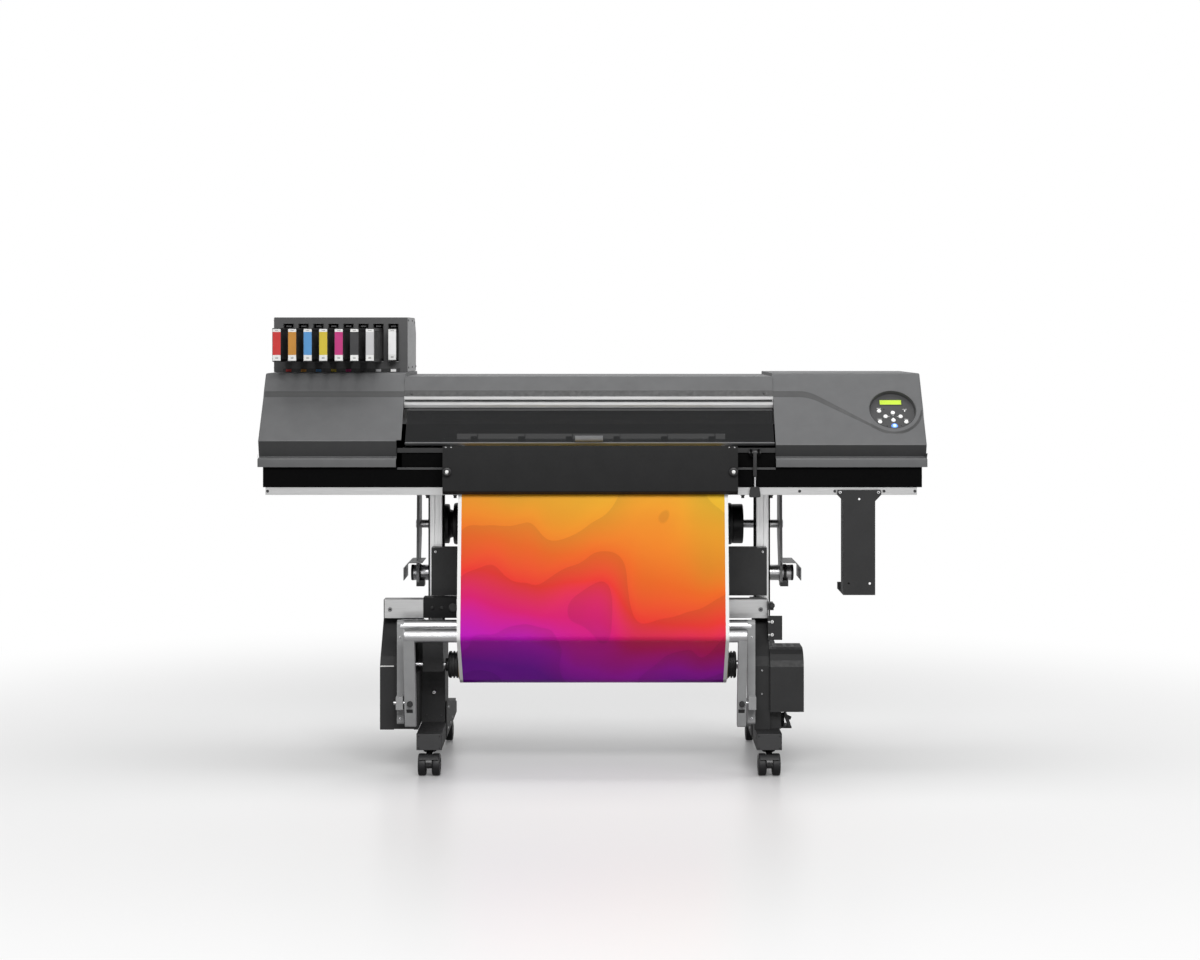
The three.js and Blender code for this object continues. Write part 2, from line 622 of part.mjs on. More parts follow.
// Swinging arms that carry the front pipe over which the media runs.
function dancer() {
  const outline = [
    [-46, 140], [-16, 140], [-20, 208], [FRONT_PIPE.y + 17, FRONT_PIPE.z], [FRONT_PIPE.y - 17, FRONT_PIPE.z],
    [-62, 208],
  ];
  const arms = [[-538, -509], [409, 433.5]].map(([x0, x1]) => prismX(outline, x0, x1));
  const pins = [[-556, -530], [425, 455]].map(
    ([x0, x1]) => rodX(5, x0, x1, DANCER_PIVOT.y, DANCER_PIVOT.z, 16));
  const pipe = rodX(PIPE_RADIUS, -538, 433.5, FRONT_PIPE.y, FRONT_PIPE.z, 24);
  return join(...arms, ...pins, pipe);
}
place('dancer_frame', dancer(), STEEL_GREY);

// ---- rear roll holder and supply roll --------------------------------------------------------
function rollHolder() {
  const outline = [
    [REAR_PIPE.y - 34, 498], [REAR_PIPE.y + 20, 498], [SUPPLY.y + 34, 640], [SUPPLY.y + 34, PAN.low - GAP],
    [REAR_PIPE.y - 10, PAN.low - GAP], [REAR_PIPE.y - 34, 560],
  ];
  const bore = { y: SUPPLY.y, z: SUPPLY.z, radius: 13.2 };
  const plates = [[-533, -525], [565, 573]].map(([x0, x1]) => prismX(outline, x0, x1, [bore]));
  const pipe = rodX(REAR_PIPE.radius, -546, 603, REAR_PIPE.y, REAR_PIPE.z, 24);
  return join(...plates, pipe);
}
place('rear_roll_holder', rollHolder(), ALUMINIUM);

const supplyProfile = [
  [-540, 0], [-540, 12.5], [-452, 12.5], [-452, 30], [-424, 30], [-424, 64], [-384, 64], [-384, 37.8],
  [388, 37.8], [388, 64], [424, 64], [424, 30], [457, 30], [457, 12.5], [580, 12.5], [580, 0],
];
place('supply_shaft', turnedX(supplyProfile, SUPPLY.y, SUPPLY.z, 24), BLACK);
place('supply_roll', hollowRoll(SUPPLY.radius, 38.3, SUPPLY.y, SUPPLY.z), PAPER);

// ---- media web -------------------------------------------------------------------------------
// The web leaves the rear of the supply roll, crosses the platen, runs down over the front pipe and
// on to the front of the take-up roll.
function mediaWeb() {
  const bend = BED.bend + GAP;
  const bendZ = BED.top - BED.bend;
  const pipe = PIPE_RADIUS + GAP;
  const line = [
    [SUPPLY.y + SUPPLY.radius + GAP, SUPPLY.z],
    ...arc(BED.rear - BED.bend, bendZ, bend, 0, 90, 6),
    ...arc(BED.lipFront + BED.bend, bendZ, bend, 90, 190, 8),
    ...arc(FRONT_PIPE.y, FRONT_PIPE.z, pipe, 170, 225, 6),
    [TAKEUP.rollY - 37, TAKEUP.rollZ - 37.5],
  ];
  return strip(line.reverse(), WEB.thick, WEB.left, WEB.right);
}
place('media_web', mediaWeb(), PAPER);

const part = new THREE.Group();
part.add(machine);
export default part;
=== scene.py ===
import json
import math

import bmesh
import bpy
from mathutils import Matrix, Vector


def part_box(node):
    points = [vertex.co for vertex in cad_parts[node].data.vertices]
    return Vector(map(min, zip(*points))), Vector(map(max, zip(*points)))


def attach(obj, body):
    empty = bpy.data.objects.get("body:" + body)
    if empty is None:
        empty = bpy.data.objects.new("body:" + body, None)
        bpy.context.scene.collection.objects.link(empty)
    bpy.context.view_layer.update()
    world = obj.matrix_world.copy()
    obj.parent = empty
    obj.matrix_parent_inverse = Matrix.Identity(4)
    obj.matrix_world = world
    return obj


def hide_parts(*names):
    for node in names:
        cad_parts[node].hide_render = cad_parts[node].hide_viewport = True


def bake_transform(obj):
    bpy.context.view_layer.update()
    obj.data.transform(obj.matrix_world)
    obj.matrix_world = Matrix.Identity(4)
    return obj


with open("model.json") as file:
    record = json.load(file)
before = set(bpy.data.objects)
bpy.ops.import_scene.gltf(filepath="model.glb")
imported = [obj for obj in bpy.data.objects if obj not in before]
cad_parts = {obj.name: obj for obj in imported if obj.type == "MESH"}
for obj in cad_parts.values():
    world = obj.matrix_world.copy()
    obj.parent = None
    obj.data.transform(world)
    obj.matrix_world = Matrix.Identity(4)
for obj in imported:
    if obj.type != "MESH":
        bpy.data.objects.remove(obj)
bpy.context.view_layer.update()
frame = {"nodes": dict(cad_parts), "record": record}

MM = 0.001
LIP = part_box("left_cover")[0][1]  # where depth starts, in metres of the row frame

X_AXIS, Y_AXIS, Z_AXIS = Vector((1, 0, 0)), Vector((0, 1, 0)), Vector((0, 0, 1))


class Span:
    """The box of a CAD node, in millimetres, with its depth measured from the covers' lip."""

    def __init__(self, node):
        low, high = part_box(node)
        self.x0, self.y0, self.z0 = low[0] / MM, (low[1] - LIP) / MM, low[2] / MM
        self.x1, self.y1, self.z1 = high[0] / MM, (high[1] - LIP) / MM, high[2] / MM
        self.x, self.y, self.z = (self.x0 + self.x1) / 2, (self.y0 + self.y1) / 2, (self.z0 + self.z1) / 2


def joint_point(name):
    """A joint's position from the record, in millimetres."""
    for joint in frame["record"]["behaviour"]["joints"]:
        if joint["name"] == name:
            x, y, z = joint["pos_m"]
            return Vector((x / MM, (y - LIP) / MM, z / MM))
    raise KeyError(name)


# ---- materials -------------------------------------------------------------------------------
class Surface:
    """A principled material whose colour, roughness and bump come from procedural textures."""

    def __init__(self, name, colour, roughness, metallic=0.0):
        self.material = bpy.data.materials.new(name)
        self.material.use_nodes = True
        self.tree = self.material.node_tree
        self.shader = self.tree.nodes["Principled BSDF"]
        self.shader.inputs["Base Color"].default_value = (*colour, 1)
        self.shader.inputs["Roughness"].default_value = roughness
        self.shader.inputs["Metallic"].default_value = metallic
        self.colour = colour
        self.coords = self.tree.nodes.new("ShaderNodeTexCoord")
        self.last_bump = None

    def link(self, source, target):
        self.tree.links.new(source, target)

    def node(self, kind, **settings):
        made = self.tree.nodes.new(kind)
        for key, value in settings.items():
            setattr(made, key, value)
        return made

    def noise(self, scale, detail=3.0, stretch=(1, 1, 1), source="Object"):
        """Noise over the piece; scale is features per metre."""
        mapping = self.node("ShaderNodeMapping")
        mapping.inputs["Scale"].default_value = stretch
        self.link(self.coords.outputs[source], mapping.inputs["Vector"])
        noise = self.node("ShaderNodeTexNoise")
        noise.inputs["Scale"].default_value = scale
        noise.inputs["Detail"].default_value = detail
        self.link(mapping.outputs["Vector"], noise.inputs["Vector"])
        return noise.outputs["Fac"]

    def ramp(self, source, stops):
        """A colour ramp from (position, grey or colour) stops."""
        ramp = self.node("ShaderNodeValToRGB")
        while len(ramp.color_ramp.elements) < len(stops):
            ramp.color_ramp.elements.new(0.5)
        for element, (position, value) in zip(ramp.color_ramp.elements, stops):
            element.position = position
            element.color = (*value, 1) if isinstance(value, tuple) else (value, value, value, 1)
        self.link(source, ramp.inputs["Fac"])
        return ramp.outputs["Color"]

    def mottle(self, scale, amount, stretch=(1, 1, 1), detail=4.0):
        """Varies the base colour a little, lighter and darker."""
        low = tuple(c * (1 - amount) for c in self.colour)
        high = tuple(min(c * (1 + amount), 1) for c in self.colour)
        source = self.noise(scale, detail, stretch)
        self.link(self.ramp(source, [(0.3, low), (0.7, high)]), self.shader.inputs["Base Color"])
        return self

    def sheen_patches(self, scale, low, high, stretch=(1, 1, 1)):
        """Varies the roughness between two values."""
        source = self.noise(scale, 3.0, stretch)
        self.link(self.ramp(source, [(0.3, low), (0.7, high)]), self.shader.inputs["Roughness"])
        return self

    def grain(self, scale, depth_mm, stretch=(1, 1, 1), detail=2.0, strength=0.6):
        """Adds fine relief of that depth."""
        bump = self.node("ShaderNodeBump")
        bump.inputs["Strength"].default_value = strength
        bump.inputs["Distance"].default_value = depth_mm * MM
        self.link(self.noise(scale, detail, stretch), bump.inputs["Height"])
        if self.last_bump:
            self.link(self.last_bump, bump.inputs["Normal"])
        self.last_bump = bump.outputs["Normal"]
        self.link(self.last_bump, self.shader.inputs["Normal"])
        return self

    def set(self, **values):
        for key, value in values.items():
            self.shader.inputs[key.replace("_", " ")].default_value = value
        return self


def moulded(name, colour, roughness=0.5, texture=1400):
    """Moulded plastic with a fine spark-eroded texture and faint sheen changes."""
    surface = Surface(name, colour, roughness)
    surface.mottle(26, 0.05).sheen_patches(60, roughness - 0.06, roughness + 0.06)
    return surface.grain(texture, 0.12).grain(8, 0.5, strength=0.12)


def painted(name, colour, roughness=0.45, metallic=0.0):
    """Powder-coated steel with an orange-peel skin and light scuffs."""
    surface = Surface(name, colour, roughness, metallic)
    surface.mottle(18, 0.09).sheen_patches(130, roughness - 0.08, roughness + 0.1)
    return surface.grain(620, 0.16, detail=1.0).grain(90, 0.2, (1, 6, 1), strength=0.1)


def glazed(name, colour, roughness):
    """Smooth tinted acrylic with a trace of dust and wiping marks."""
    surface = Surface(name, colour, roughness)
    surface.mottle(14, 0.12, (1, 1, 3)).sheen_patches(9, roughness - 0.03, roughness + 0.05, (1, 1, 4))
    return surface.grain(3, 0.25, strength=0.08)


def brushed(name, colour, roughness, along):
    """Drawn or brushed metal with its lines along one axis."""
    stretch = tuple(0.02 if axis == along else 1 for axis in "xyz")
    surface = Surface(name, colour, roughness, 1.0)
    surface.mottle(900, 0.06, stretch).sheen_patches(700, roughness - 0.07, roughness + 0.09, stretch)
    return surface.grain(1100, 0.05, stretch, strength=0.35)


M = {
    "cover": moulded("cover_plastic", (0.088, 0.089, 0.091), 0.5),
    # darker copy of the cover plastic for faces that look downwards: painted shade
    "cover_shade_below": moulded("cover_plastic_shade_below", (0.026, 0.0263, 0.027), 0.55),
    # darker copy of the cover plastic for the tilted faces of the step across the slanted face: painted
    # shade
    "cover_step_shade": moulded("cover_plastic_step_shade", (0.04, 0.0404, 0.041), 0.52),
    "top": painted("top_sheet_paint", (0.082, 0.083, 0.085), 0.42),
    "dark": moulded("dark_moulding", (0.03, 0.03, 0.031), 0.48),
    "panel": moulded("panel_face_plastic", (0.042, 0.042, 0.043), 0.5),
    "ink": moulded("ink_unit_plastic", (0.05, 0.05, 0.0515), 0.5),
    "black": moulded("black_moulding", (0.0075, 0.0075, 0.008), 0.42),
    "gloss_black": moulded("caster_nylon", (0.006, 0.006, 0.0065), 0.26, 900),
    "black_steel": painted("black_steel_paint", (0.0012, 0.0012, 0.0013), 0.62),
    # darker copy of the top sheet paint for the front of its lower strip: painted shade
    "top_shaded": painted("top_sheet_paint_shaded", (0.022, 0.0222, 0.0226), 0.5),
    # darker copy of the dark steel paint for the apron and the take-up beam clamp: painted shade
    "apron": painted("apron_paint_shaded", (0.011, 0.011, 0.0113), 0.5),
    "dark_steel": painted("dark_steel_paint", (0.02, 0.02, 0.0205), 0.5),
    "grey_steel": painted("grey_steel_paint", (0.2, 0.2, 0.203), 0.4, 0.35),
    "grey_sheet": painted("grey_sheet_paint", (0.27, 0.272, 0.275), 0.46),
    "silver_x": brushed("drawn_aluminium_across", (0.5, 0.5, 0.5), 0.4, "x"),
    # drawn aluminium with upright lines for the leg posts, made lighter than the across extrusions: painted
    # light against the shade under the body
    "silver_z": brushed("drawn_aluminium_upright_painted_light", (0.82, 0.82, 0.82), 0.42, "z"),
    "pipe": brushed("ground_pipe", (0.6, 0.6, 0.61), 0.3, "x"),
    "bright": brushed("zinc_plated_steel", (0.66, 0.66, 0.67), 0.3, "y"),
    "rubber": moulded("black_rubber", (0.011, 0.011, 0.0115), 0.72, 700),
    "tyre": moulded("caster_tread", (0.012, 0.012, 0.013), 0.5, 500),
    "white": moulded("white_plastic", (0.78, 0.78, 0.77), 0.4),
    "label": moulded("label_white", (0.72, 0.72, 0.71), 0.45),
    "paper": moulded("roll_media", (0.76, 0.755, 0.74), 0.55),
    "core": moulded("card_core", (0.34, 0.235, 0.13), 0.85, 400),
    "window": glazed("smoked_acrylic", (0.006, 0.0062, 0.0066), 0.07),
    "lamp_off": moulded("dark_lamp_lens", (0.02, 0.02, 0.022), 0.2),
}
M["window"].set(Alpha=0.8, IOR=1.45)
M["black_steel"].set(Specular_IOR_Level=0.04)
M["dark_steel"].set(Specular_IOR_Level=0.3)
M["apron"].set(Specular_IOR_Level=0.15)
for key in ("gloss_black", "tyre", "rubber"):
    M[key].set(Specular_IOR_Level=0.3)


# ---- shapes ----------------------------------------------------------------------------------
# How the two numbers of an outline and the distance along an axis become a point.
ALONG = {
    "x": lambda a, b, t: (t, a, b),
    "y": lambda a, b, t: (a, t, b),
    "z": lambda a, b, t: (a, b, t),
}


class Shape:
    """A mesh being put together from solids; each face remembers which material it takes."""

    def __init__(self):
        self.points, self.faces, self.paints = [], [], []

    def add(self, points, faces, paint=0):
        base = len(self.points)
        self.points += [tuple(p) for p in points]
        for face in faces:
            self.faces.append([base + i for i in dict.fromkeys(face)])
            self.paints.append(paint)
        return self

    def prism(self, axis, outline, low, high, paint=0):
        """A solid whose outline is the same from low to high along an axis."""
        place = ALONG[axis]
        n = len(outline)
        points = [place(a, b, t) for t in (low, high) for a, b in outline]
        sides = [[i, (i + 1) % n, n + (i + 1) % n, n + i] for i in range(n)]
        return self.add(points, [list(range(n)), list(range(n, 2 * n))] + sides, paint)

    def box(self, x0, x1, y0, y1, z0, z1, paint=0):
        return self.prism("z", [(x0, y0), (x1, y0), (x1, y1), (x0, y1)], z0, z1, paint)

    def plate(self, axis, outline, holes, low, high, paint=0):
        """A flat plate with round or rectangular holes, given as closed outlines."""
        place = ALONG[axis]
        mesh = bmesh.new()
        edges = []
        for loop in [outline, *holes]:
            ring = [mesh.verts.new((a, b, 0)) for a, b in loop]
            edges += [mesh.edges.new((ring[i - 1], ring[i])) for i in range(len(ring))]
        bmesh.ops.triangle_fill(mesh, edges=edges, use_beauty=True)
        mesh.verts.index_update()
        flat = [(v.co.x, v.co.y) for v in mesh.verts]
        tops = [[v.index for v in face.verts] for face in mesh.faces]
        rim = [[v.index for v in edge.verts] for edge in edges]
        mesh.free()
        n = len(flat)
        points = [place(a, b, t) for t in (low, high) for a, b in flat]
        faces = tops + [[n + i for i in face] for face in tops]
        faces += [[a, b, n + b, n + a] for a, b in rim]
        return self.add(points, faces, paint)

    def turned(self, direction, profile, at, steps=32, paint=0):
        """A turned piece from (along, radius) pairs about a line through a point."""
        turn = direction.normalized().to_track_quat("Z", "Y").to_matrix()
        at = Vector(at)
        points, rings = [], []
        for along, radius in profile:
            count = steps if radius else 1
            rings.append((len(points), count))
            for i in range(count):
                angle = math.tau * i / steps
                points.append(at + turn @ Vector((radius * math.cos(angle), radius * math.sin(angle),
                                                  along)))
        faces = []
        for (a, na), (b, nb) in zip(rings, rings[1:]):
            for i in range(steps):
                j = i + 1
                faces.append([a + i % na, a + j % na, b + j % nb, b + i % nb])
        return self.add(points, faces, paint)

    def rod(self, start, end, radius, steps=24, paint=0, soft=0.4):
        """A round bar between two points, with its ends eased."""
        start, end = Vector(start), Vector(end)
        length = (end - start).length
        soft = min(soft, radius / 2)
        profile = [(0, 0), (0, radius - soft), (soft, radius), (length - soft, radius),
                   (length, radius - soft), (length, 0)]
        return self.turned(end - start, profile, start, steps, paint)

    def moved(self, origin, across, up, out):
        """Turns points given across, up and out of a face into places in the machine."""
        self.points = [tuple(origin + across * x + up * y + out * z) for x, y, z in self.points]
        return self

    def screw(self, at, out, radius=4.0, paint=0, socket=1):
        """A pan-head screw standing on a face, with a hexagon socket."""
        height = radius * 0.55
        head = [(0, radius), (height * 0.6, radius), (height, radius * 0.72), (height, radius * 0.42)]
        self.turned(out, head, at, 20, paint)
        self.turned(out, [(height, radius * 0.42), (height * 0.35, radius * 0.42), (height * 0.35, 0)],
                    at, 6, socket)
        return self


def rounded(x0, x1, z0, z1, radius, steps=5):
    """A rectangle's outline with round corners."""
    outline = []
    corners = [(x1 - radius, z1 - radius, 0), (x0 + radius, z1 - radius, 90),
               (x0 + radius, z0 + radius, 180), (x1 - radius, z0 + radius, 270)]
    for x, z, start in corners:
        outline += arc(x, z, radius, start, start + 90, steps)
    return outline


def arc(a, b, radius, start, end, steps):
    angles = [math.radians(start + (end - start) * i / steps) for i in range(steps + 1)]
    return [(a + radius * math.cos(t), b + radius * math.sin(t)) for t in angles]


def circle(a, b, radius, steps=24):
    return arc(a, b, radius, 0, 360, steps)[:-1]


def filleted(corners, closed=True):
    """An outline through (a, b, radius) corners, each rounded with its own radius."""
    outline = []
    count = len(corners)
    for i, (a, b, radius) in enumerate(corners):
        here = Vector((a, b))
        if not radius or (not closed and i in (0, count - 1)):
            outline.append((a, b))
            continue
        before, after = Vector(corners[i - 1][:2]), Vector(corners[(i + 1) % count][:2])
        into, out = (before - here).normalized(), (after - here).normalized()
        half = into.angle(out) / 2
        start, end = here + into * radius / math.tan(half), here + out * radius / math.tan(half)
        for step in range(5):
            t = step / 4
            bend = start.lerp(here, t).lerp(here.lerp(end, t), t)
            outline.append((bend.x, bend.y))
    return outline


def built(shape, weld=0.0):
    """The shape as a bmesh in the row frame, in metres, with its faces turned outwards."""
    mesh = bmesh.new()
    verts = [mesh.verts.new((x * MM, y * MM + LIP, z * MM)) for x, y, z in shape.points]
    for indices, paint in zip(shape.faces, shape.paints):
        face = mesh.faces.new([verts[i] for i in indices])
        face.material_index = paint
        face.smooth = True
    if weld:
        bmesh.ops.remove_doubles(mesh, verts=mesh.verts, dist=weld * MM)
    bmesh.ops.recalc_face_normals(mesh, faces=mesh.faces)
    return mesh


def piece(name, shape, materials, replaces=(), body="frame", bevel=0.0, crease=38):
    """Makes the mesh in the row frame, ties it to its body and hides the CAD nodes it replaces."""
    mesh = built(shape)
    data = bpy.data.meshes.new(name)
    mesh.to_mesh(data)
    mesh.free()
    data.set_sharp_from_angle(angle=math.radians(crease))
    thing = bpy.data.objects.new(name, data)
    bpy.context.collection.objects.link(thing)
    for key in materials:
        data.materials.append(M[key].material)
    if bevel:
        soften(thing, bevel)
    tie(thing, body, replaces)
    return thing


def soften(thing, width, segments=2):
    """Rounds the edges of a piece by a width in millimetres."""
    edge = thing.modifiers.new("edge", "BEVEL")
    edge.width = width * MM
    edge.segments = segments
    edge.limit_method = "ANGLE"
    edge.angle_limit = math.radians(35)
    edge.harden_normals = True
    edge.use_clamp_overlap = True


def tie(thing, body, replaces=()):
    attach(thing, body)
    if replaces:
        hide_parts(*replaces)


def keep(node, key, bevel=0.0):
    """Keeps a CAD node as it is, with a finished material and eased edges."""
    thing = frame["nodes"][node]
    thing.data.materials.clear()
    thing.data.materials.append(M[key].material)
    if bevel:
        soften(thing, bevel)


def screws(name, places, out, radius=4.0, keys=("bright", "rubber")):
    """Screws of one size at (x, y, z) places, all facing the same way."""
    shape = Shape()
    for place in places:
        shape.screw(place, out, radius)
    return piece(name, shape, keys)


# ---- end covers ------------------------------------------------------------------------------
left, right = Span("left_cover"), Span("right_cover")
bezel = Span("panel_bezel")
WALL = 3.0
TOP_EDGE = 170.0  # depth at which the slanted face meets the flat top
FACE_FRONT = 10.0  # depth of the slanted face's lower edge
FACE_LOW = {"left": 948.0, "right": 937.0}
STEP = 4.0  # how far the lower part of the face lies below the upper part
SLOPE_BAND = (965.0, 1105.0)  # heights between which the slanted faces are flat but for the step
slope = math.atan2(right.z1 - FACE_LOW["right"], TOP_EDGE - FACE_FRONT)
OUT = Vector((0, -math.sin(slope), math.cos(slope)))  # square to the right cover's face
UP = Vector((0, math.cos(slope), math.sin(slope)))
PANEL_RADIUS = (bezel.x1 - bezel.x0) / 2


PANEL = Vector((bezel.x, 87.2, FACE_LOW["right"] + (87.2 - FACE_FRONT) * math.tan(slope)))
PANEL_UP = (PANEL.z - FACE_LOW["right"]) / math.sin(slope)


def step_right(x):
    """Where the step in the right cover's face lies up the slope at a place along X, and its width."""
    u = x - PANEL.x
    straight, ring, fall, bend = 56.6, 82.5, -0.65, 30.0
    touch = math.atan2(-1, fall)  # where the diagonal meets the ring round the panel
    end_u, end_v = ring * math.cos(touch), ring * math.sin(touch)
    knee = end_u + (straight - end_v) / fall
    width = 19.0 - 13.0 * min(max((u - knee) / (end_u - knee), 0), 1)
    if u > end_u:
        level = -math.sqrt(max(ring ** 2 - min(u, 81.8) ** 2, 0))
        return PANEL_UP + level, width / max(-level / ring, 0.35)
    if u > knee + bend:
        return PANEL_UP + end_v + (u - end_u) * fall, width
    if u < knee - bend:
        return PANEL_UP + straight, width
    t = (u - knee + bend) / (2 * bend)
    return PANEL_UP + straight + fall * bend * t * t, width


def cover_skin(side, columns, step, lip_end):
    """The skin of an end cover as rows of points along the side view, one per column along X."""
    low = FACE_LOW[side]
    angle = math.atan2(left.z1 - low, TOP_EDGE - FACE_FRONT)
    along, square = Vector((math.cos(angle), math.sin(angle))), Vector((-math.sin(angle), math.cos(angle)))
    length = (left.z1 - low) / math.sin(angle)
    front = filleted([(0, left.z0, 0), (0, 896, 3.5), (28, 898, 2.5), (FACE_FRONT, low, 5),
                      (90, low + 80, 0)], closed=False)[1:-1]
    front = [(0, left.z0), (0, left.z0 + 8)] + front
    back = filleted([(100, left.z1 - 80, 0), (TOP_EDGE, left.z1, 12), (left.y1, left.z1, 8),
                     (left.y1, left.z0, 0)], closed=False)[1:]
    back = back[:5] + [(300, left.z1), (450, left.z1)] + back[5:]
    facet = [-0.16, 0.0, 0.14, 0.5, 0.86, 1.0, 1.16]
    drop = [1.0, 0.97, 0.86, 0.5, 0.14, 0.03, 0.0]
    rows = []
    for x, inward in columns:
        centre, width = step(x)
        top = centre + width / 2
        column = []
        for y, z in front:
            sunk = STEP * min(max((z - 905) / 20, 0), 1)
            column.append((y - square.x * sunk, z - square.y * sunk))
        first, last = 7.0, length - 15
        base = top - width
        face = [first + (base - width * 0.2 - first) * i / 14 for i in range(14)]
        heights = [1.0] * 14
        face += [base + width * t for t in facet]
        heights += drop
        above = top + width * 0.2
        face += [above + (last - above) * i / 14 for i in range(1, 15)]
        heights += [0.0] * 14
        for distance, height in zip(face, heights):
            spot = Vector((FACE_FRONT, low)) + along * distance - square * (STEP * height)
            column.append((spot.x, spot.y))
        column += back
        rows.append([(x, y, z) for y, z in shrunk(column, inward)])
    shape = Shape()
    size = len(rows[0])
    lip_rows = len(front) - 1
    for i in range(len(rows) - 1):
        cut_back = lip_end is not None and rows[i][0][0] >= lip_end - 0.01
        first_row = lip_rows if cut_back else 0
        shape.add(rows[i] + rows[i + 1], [[j, j + 1, size + j + 1, size + j]
                                          for j in range(first_row, size - 1)])
    end = rows[0] if side == "left" else rows[-1]
    shape.add(end, [list(range(size))])
    return shape


def shrunk(line, inward):
    """A side view moved inwards by a distance, for the rounded outer end."""
    if not inward:
        return line
    moved = []
    for i, point in enumerate(line):
        before, after = Vector(line[max(i - 1, 0)]), Vector(line[min(i + 1, len(line) - 1)])
        along = (after - before).normalized()
        moved.append((point[0] + along.y * inward, point[1] - along.x * inward))
    return moved


def end_columns(outer, sign, radius=4.0):
    """Columns that round off the outer end: (x, how far the side view shrinks)."""
    turn = [math.radians(a) for a in (0, 22.5, 45, 67.5, 90)]
    return [(outer - sign * radius * (1 - math.sin(a)), radius * (1 - math.cos(a))) for a in turn]


def in_step(face):
    """Whether a face belongs to the step across the slanted face, which takes a darker copy of the cover
    plastic as painted shade.
    """
    middle = face.calc_center_median()
    tilted = 7 < math.degrees(face.normal.angle(OUT)) < 50
    on_slope = SLOPE_BAND[0] * MM < middle.z < SLOPE_BAND[1] * MM
    return tilted and on_slope and abs(middle.x) < (right.x1 - 5) * MM


def cover(side, columns, step, lip_end=None):
    mesh = built(cover_skin(side, columns, step, lip_end), weld=0.02)
    sample = max(mesh.faces, key=lambda f: f.calc_center_median().z)
    if sample.normal.z < 0:
        bmesh.ops.reverse_faces(mesh, faces=mesh.faces)
    mesh.normal_update()
    for face in mesh.faces:
        # faces that look downwards take the darker copy of the cover plastic, painted shade
        if face.normal.z < -0.15:
            face.material_index = 1
        # the tilted faces of the step take another darker copy of the cover plastic, painted shade
        elif in_step(face):
            face.material_index = 2
    data = bpy.data.meshes.new(side + "_cover_shell")
    mesh.to_mesh(data)
    mesh.free()
    for key in ("cover", "cover_shade_below", "cover_step_shade"):
        data.materials.append(M[key].material)
    thing = bpy.data.objects.new(side + "_cover_shell", data)
    bpy.context.collection.objects.link(thing)
    thick = thing.modifiers.new("wall", "SOLIDIFY")
    thick.thickness = WALL * MM
    thick.offset = -1
    thick.use_even_offset = True
    return thing


def settled(thing):
    """Turns a piece's modifiers into its mesh."""
    bpy.context.view_layer.update()
    evaluated = thing.evaluated_get(bpy.context.evaluated_depsgraph_get())
    data = bpy.data.meshes.new_from_object(evaluated)
    thing.modifiers.clear()
    thing.data = data


LEFT_LIP_END = left.x1 - 13.7
left_slope = math.atan2(left.z1 - FACE_LOW["left"], TOP_EDGE - FACE_FRONT)
left_step = (1076.5 - FACE_LOW["left"]) / math.sin(left_slope)
columns = end_columns(left.x0, -1)[::-1]
columns += [(left.x0 + 4 + (LEFT_LIP_END - left.x0 - 4) * i / 8, 0) for i in range(1, 9)] + [(left.x1, 0)]
left_shell = cover("left", columns, lambda x: (left_step, 19.0), LEFT_LIP_END)
settled(left_shell)
left_shell.data.set_sharp_from_angle(angle=math.radians(32))
tie(left_shell, "frame", ["left_cover"])

count = 150
columns = [(right.x0 + (right.x1 - 4 - right.x0) * i / count, 0) for i in range(count)]
columns += end_columns(right.x1, 1)
right_shell = cover("right", columns, step_right)
settled(right_shell)
hole = PANEL_RADIUS + 0.3
cutter = built(Shape().turned(OUT, [(-30, 0), (-30, hole), (30, hole), (30, 0)], PANEL, 96))
punch = bpy.data.objects.new("punch", bpy.data.meshes.new("punch"))
cutter.to_mesh(punch.data)
cutter.free()
bpy.context.collection.objects.link(punch)
punch.hide_render = True
opening = right_shell.modifiers.new("opening", "BOOLEAN")
opening.object = punch
opening.operation = "DIFFERENCE"
opening.solver = "EXACT"
settled(right_shell)
bpy.data.objects.remove(punch)
right_shell.data.set_sharp_from_angle(angle=math.radians(32))
tie(right_shell, "frame", ["right_cover"])

# Walls that close the inner ends of both covers above the top cover.
walls = Shape()
for x0, x1 in ((left.x1 - 3, left.x1 - 0.2), (right.x0 + 0.2, right.x0 + 3)):
    walls.box(x0, x1, TOP_EDGE + 6, left.y1 - 4, 1090, left.z1 - WALL - 0.2)
piece("cover_end_walls", walls, ["cover"])


# ---- control panel ---------------------------------------------------------------------------
FLOOR = -12.0  # the panel's face, below the cover's face


def lit(name, colour, strength, roughness=0.3):
    """A lamp, a lit key or a display."""
    surface = Surface(name, colour, roughness)
    surface.mottle(300, 0.08)
    surface.set(Emission_Color=(*colour, 1), Emission_Strength=strength)
    return surface


M["lcd"] = lit("display_glow", (0.36, 0.5, 0.035), 0.35)
M["blue_key"] = lit("lit_key", (0.22, 0.46, 1.0), 0.9)
M["blue_glow"] = lit("key_glow", (0.1, 0.22, 0.75), 0.25)


def panel_spot(node):
    """Where a CAD node of the panel is, as (across, up)."""
    box = Span(node)
    offset = Vector((box.x, box.y, box.z)) - PANEL
    return offset.x, offset.dot(UP)


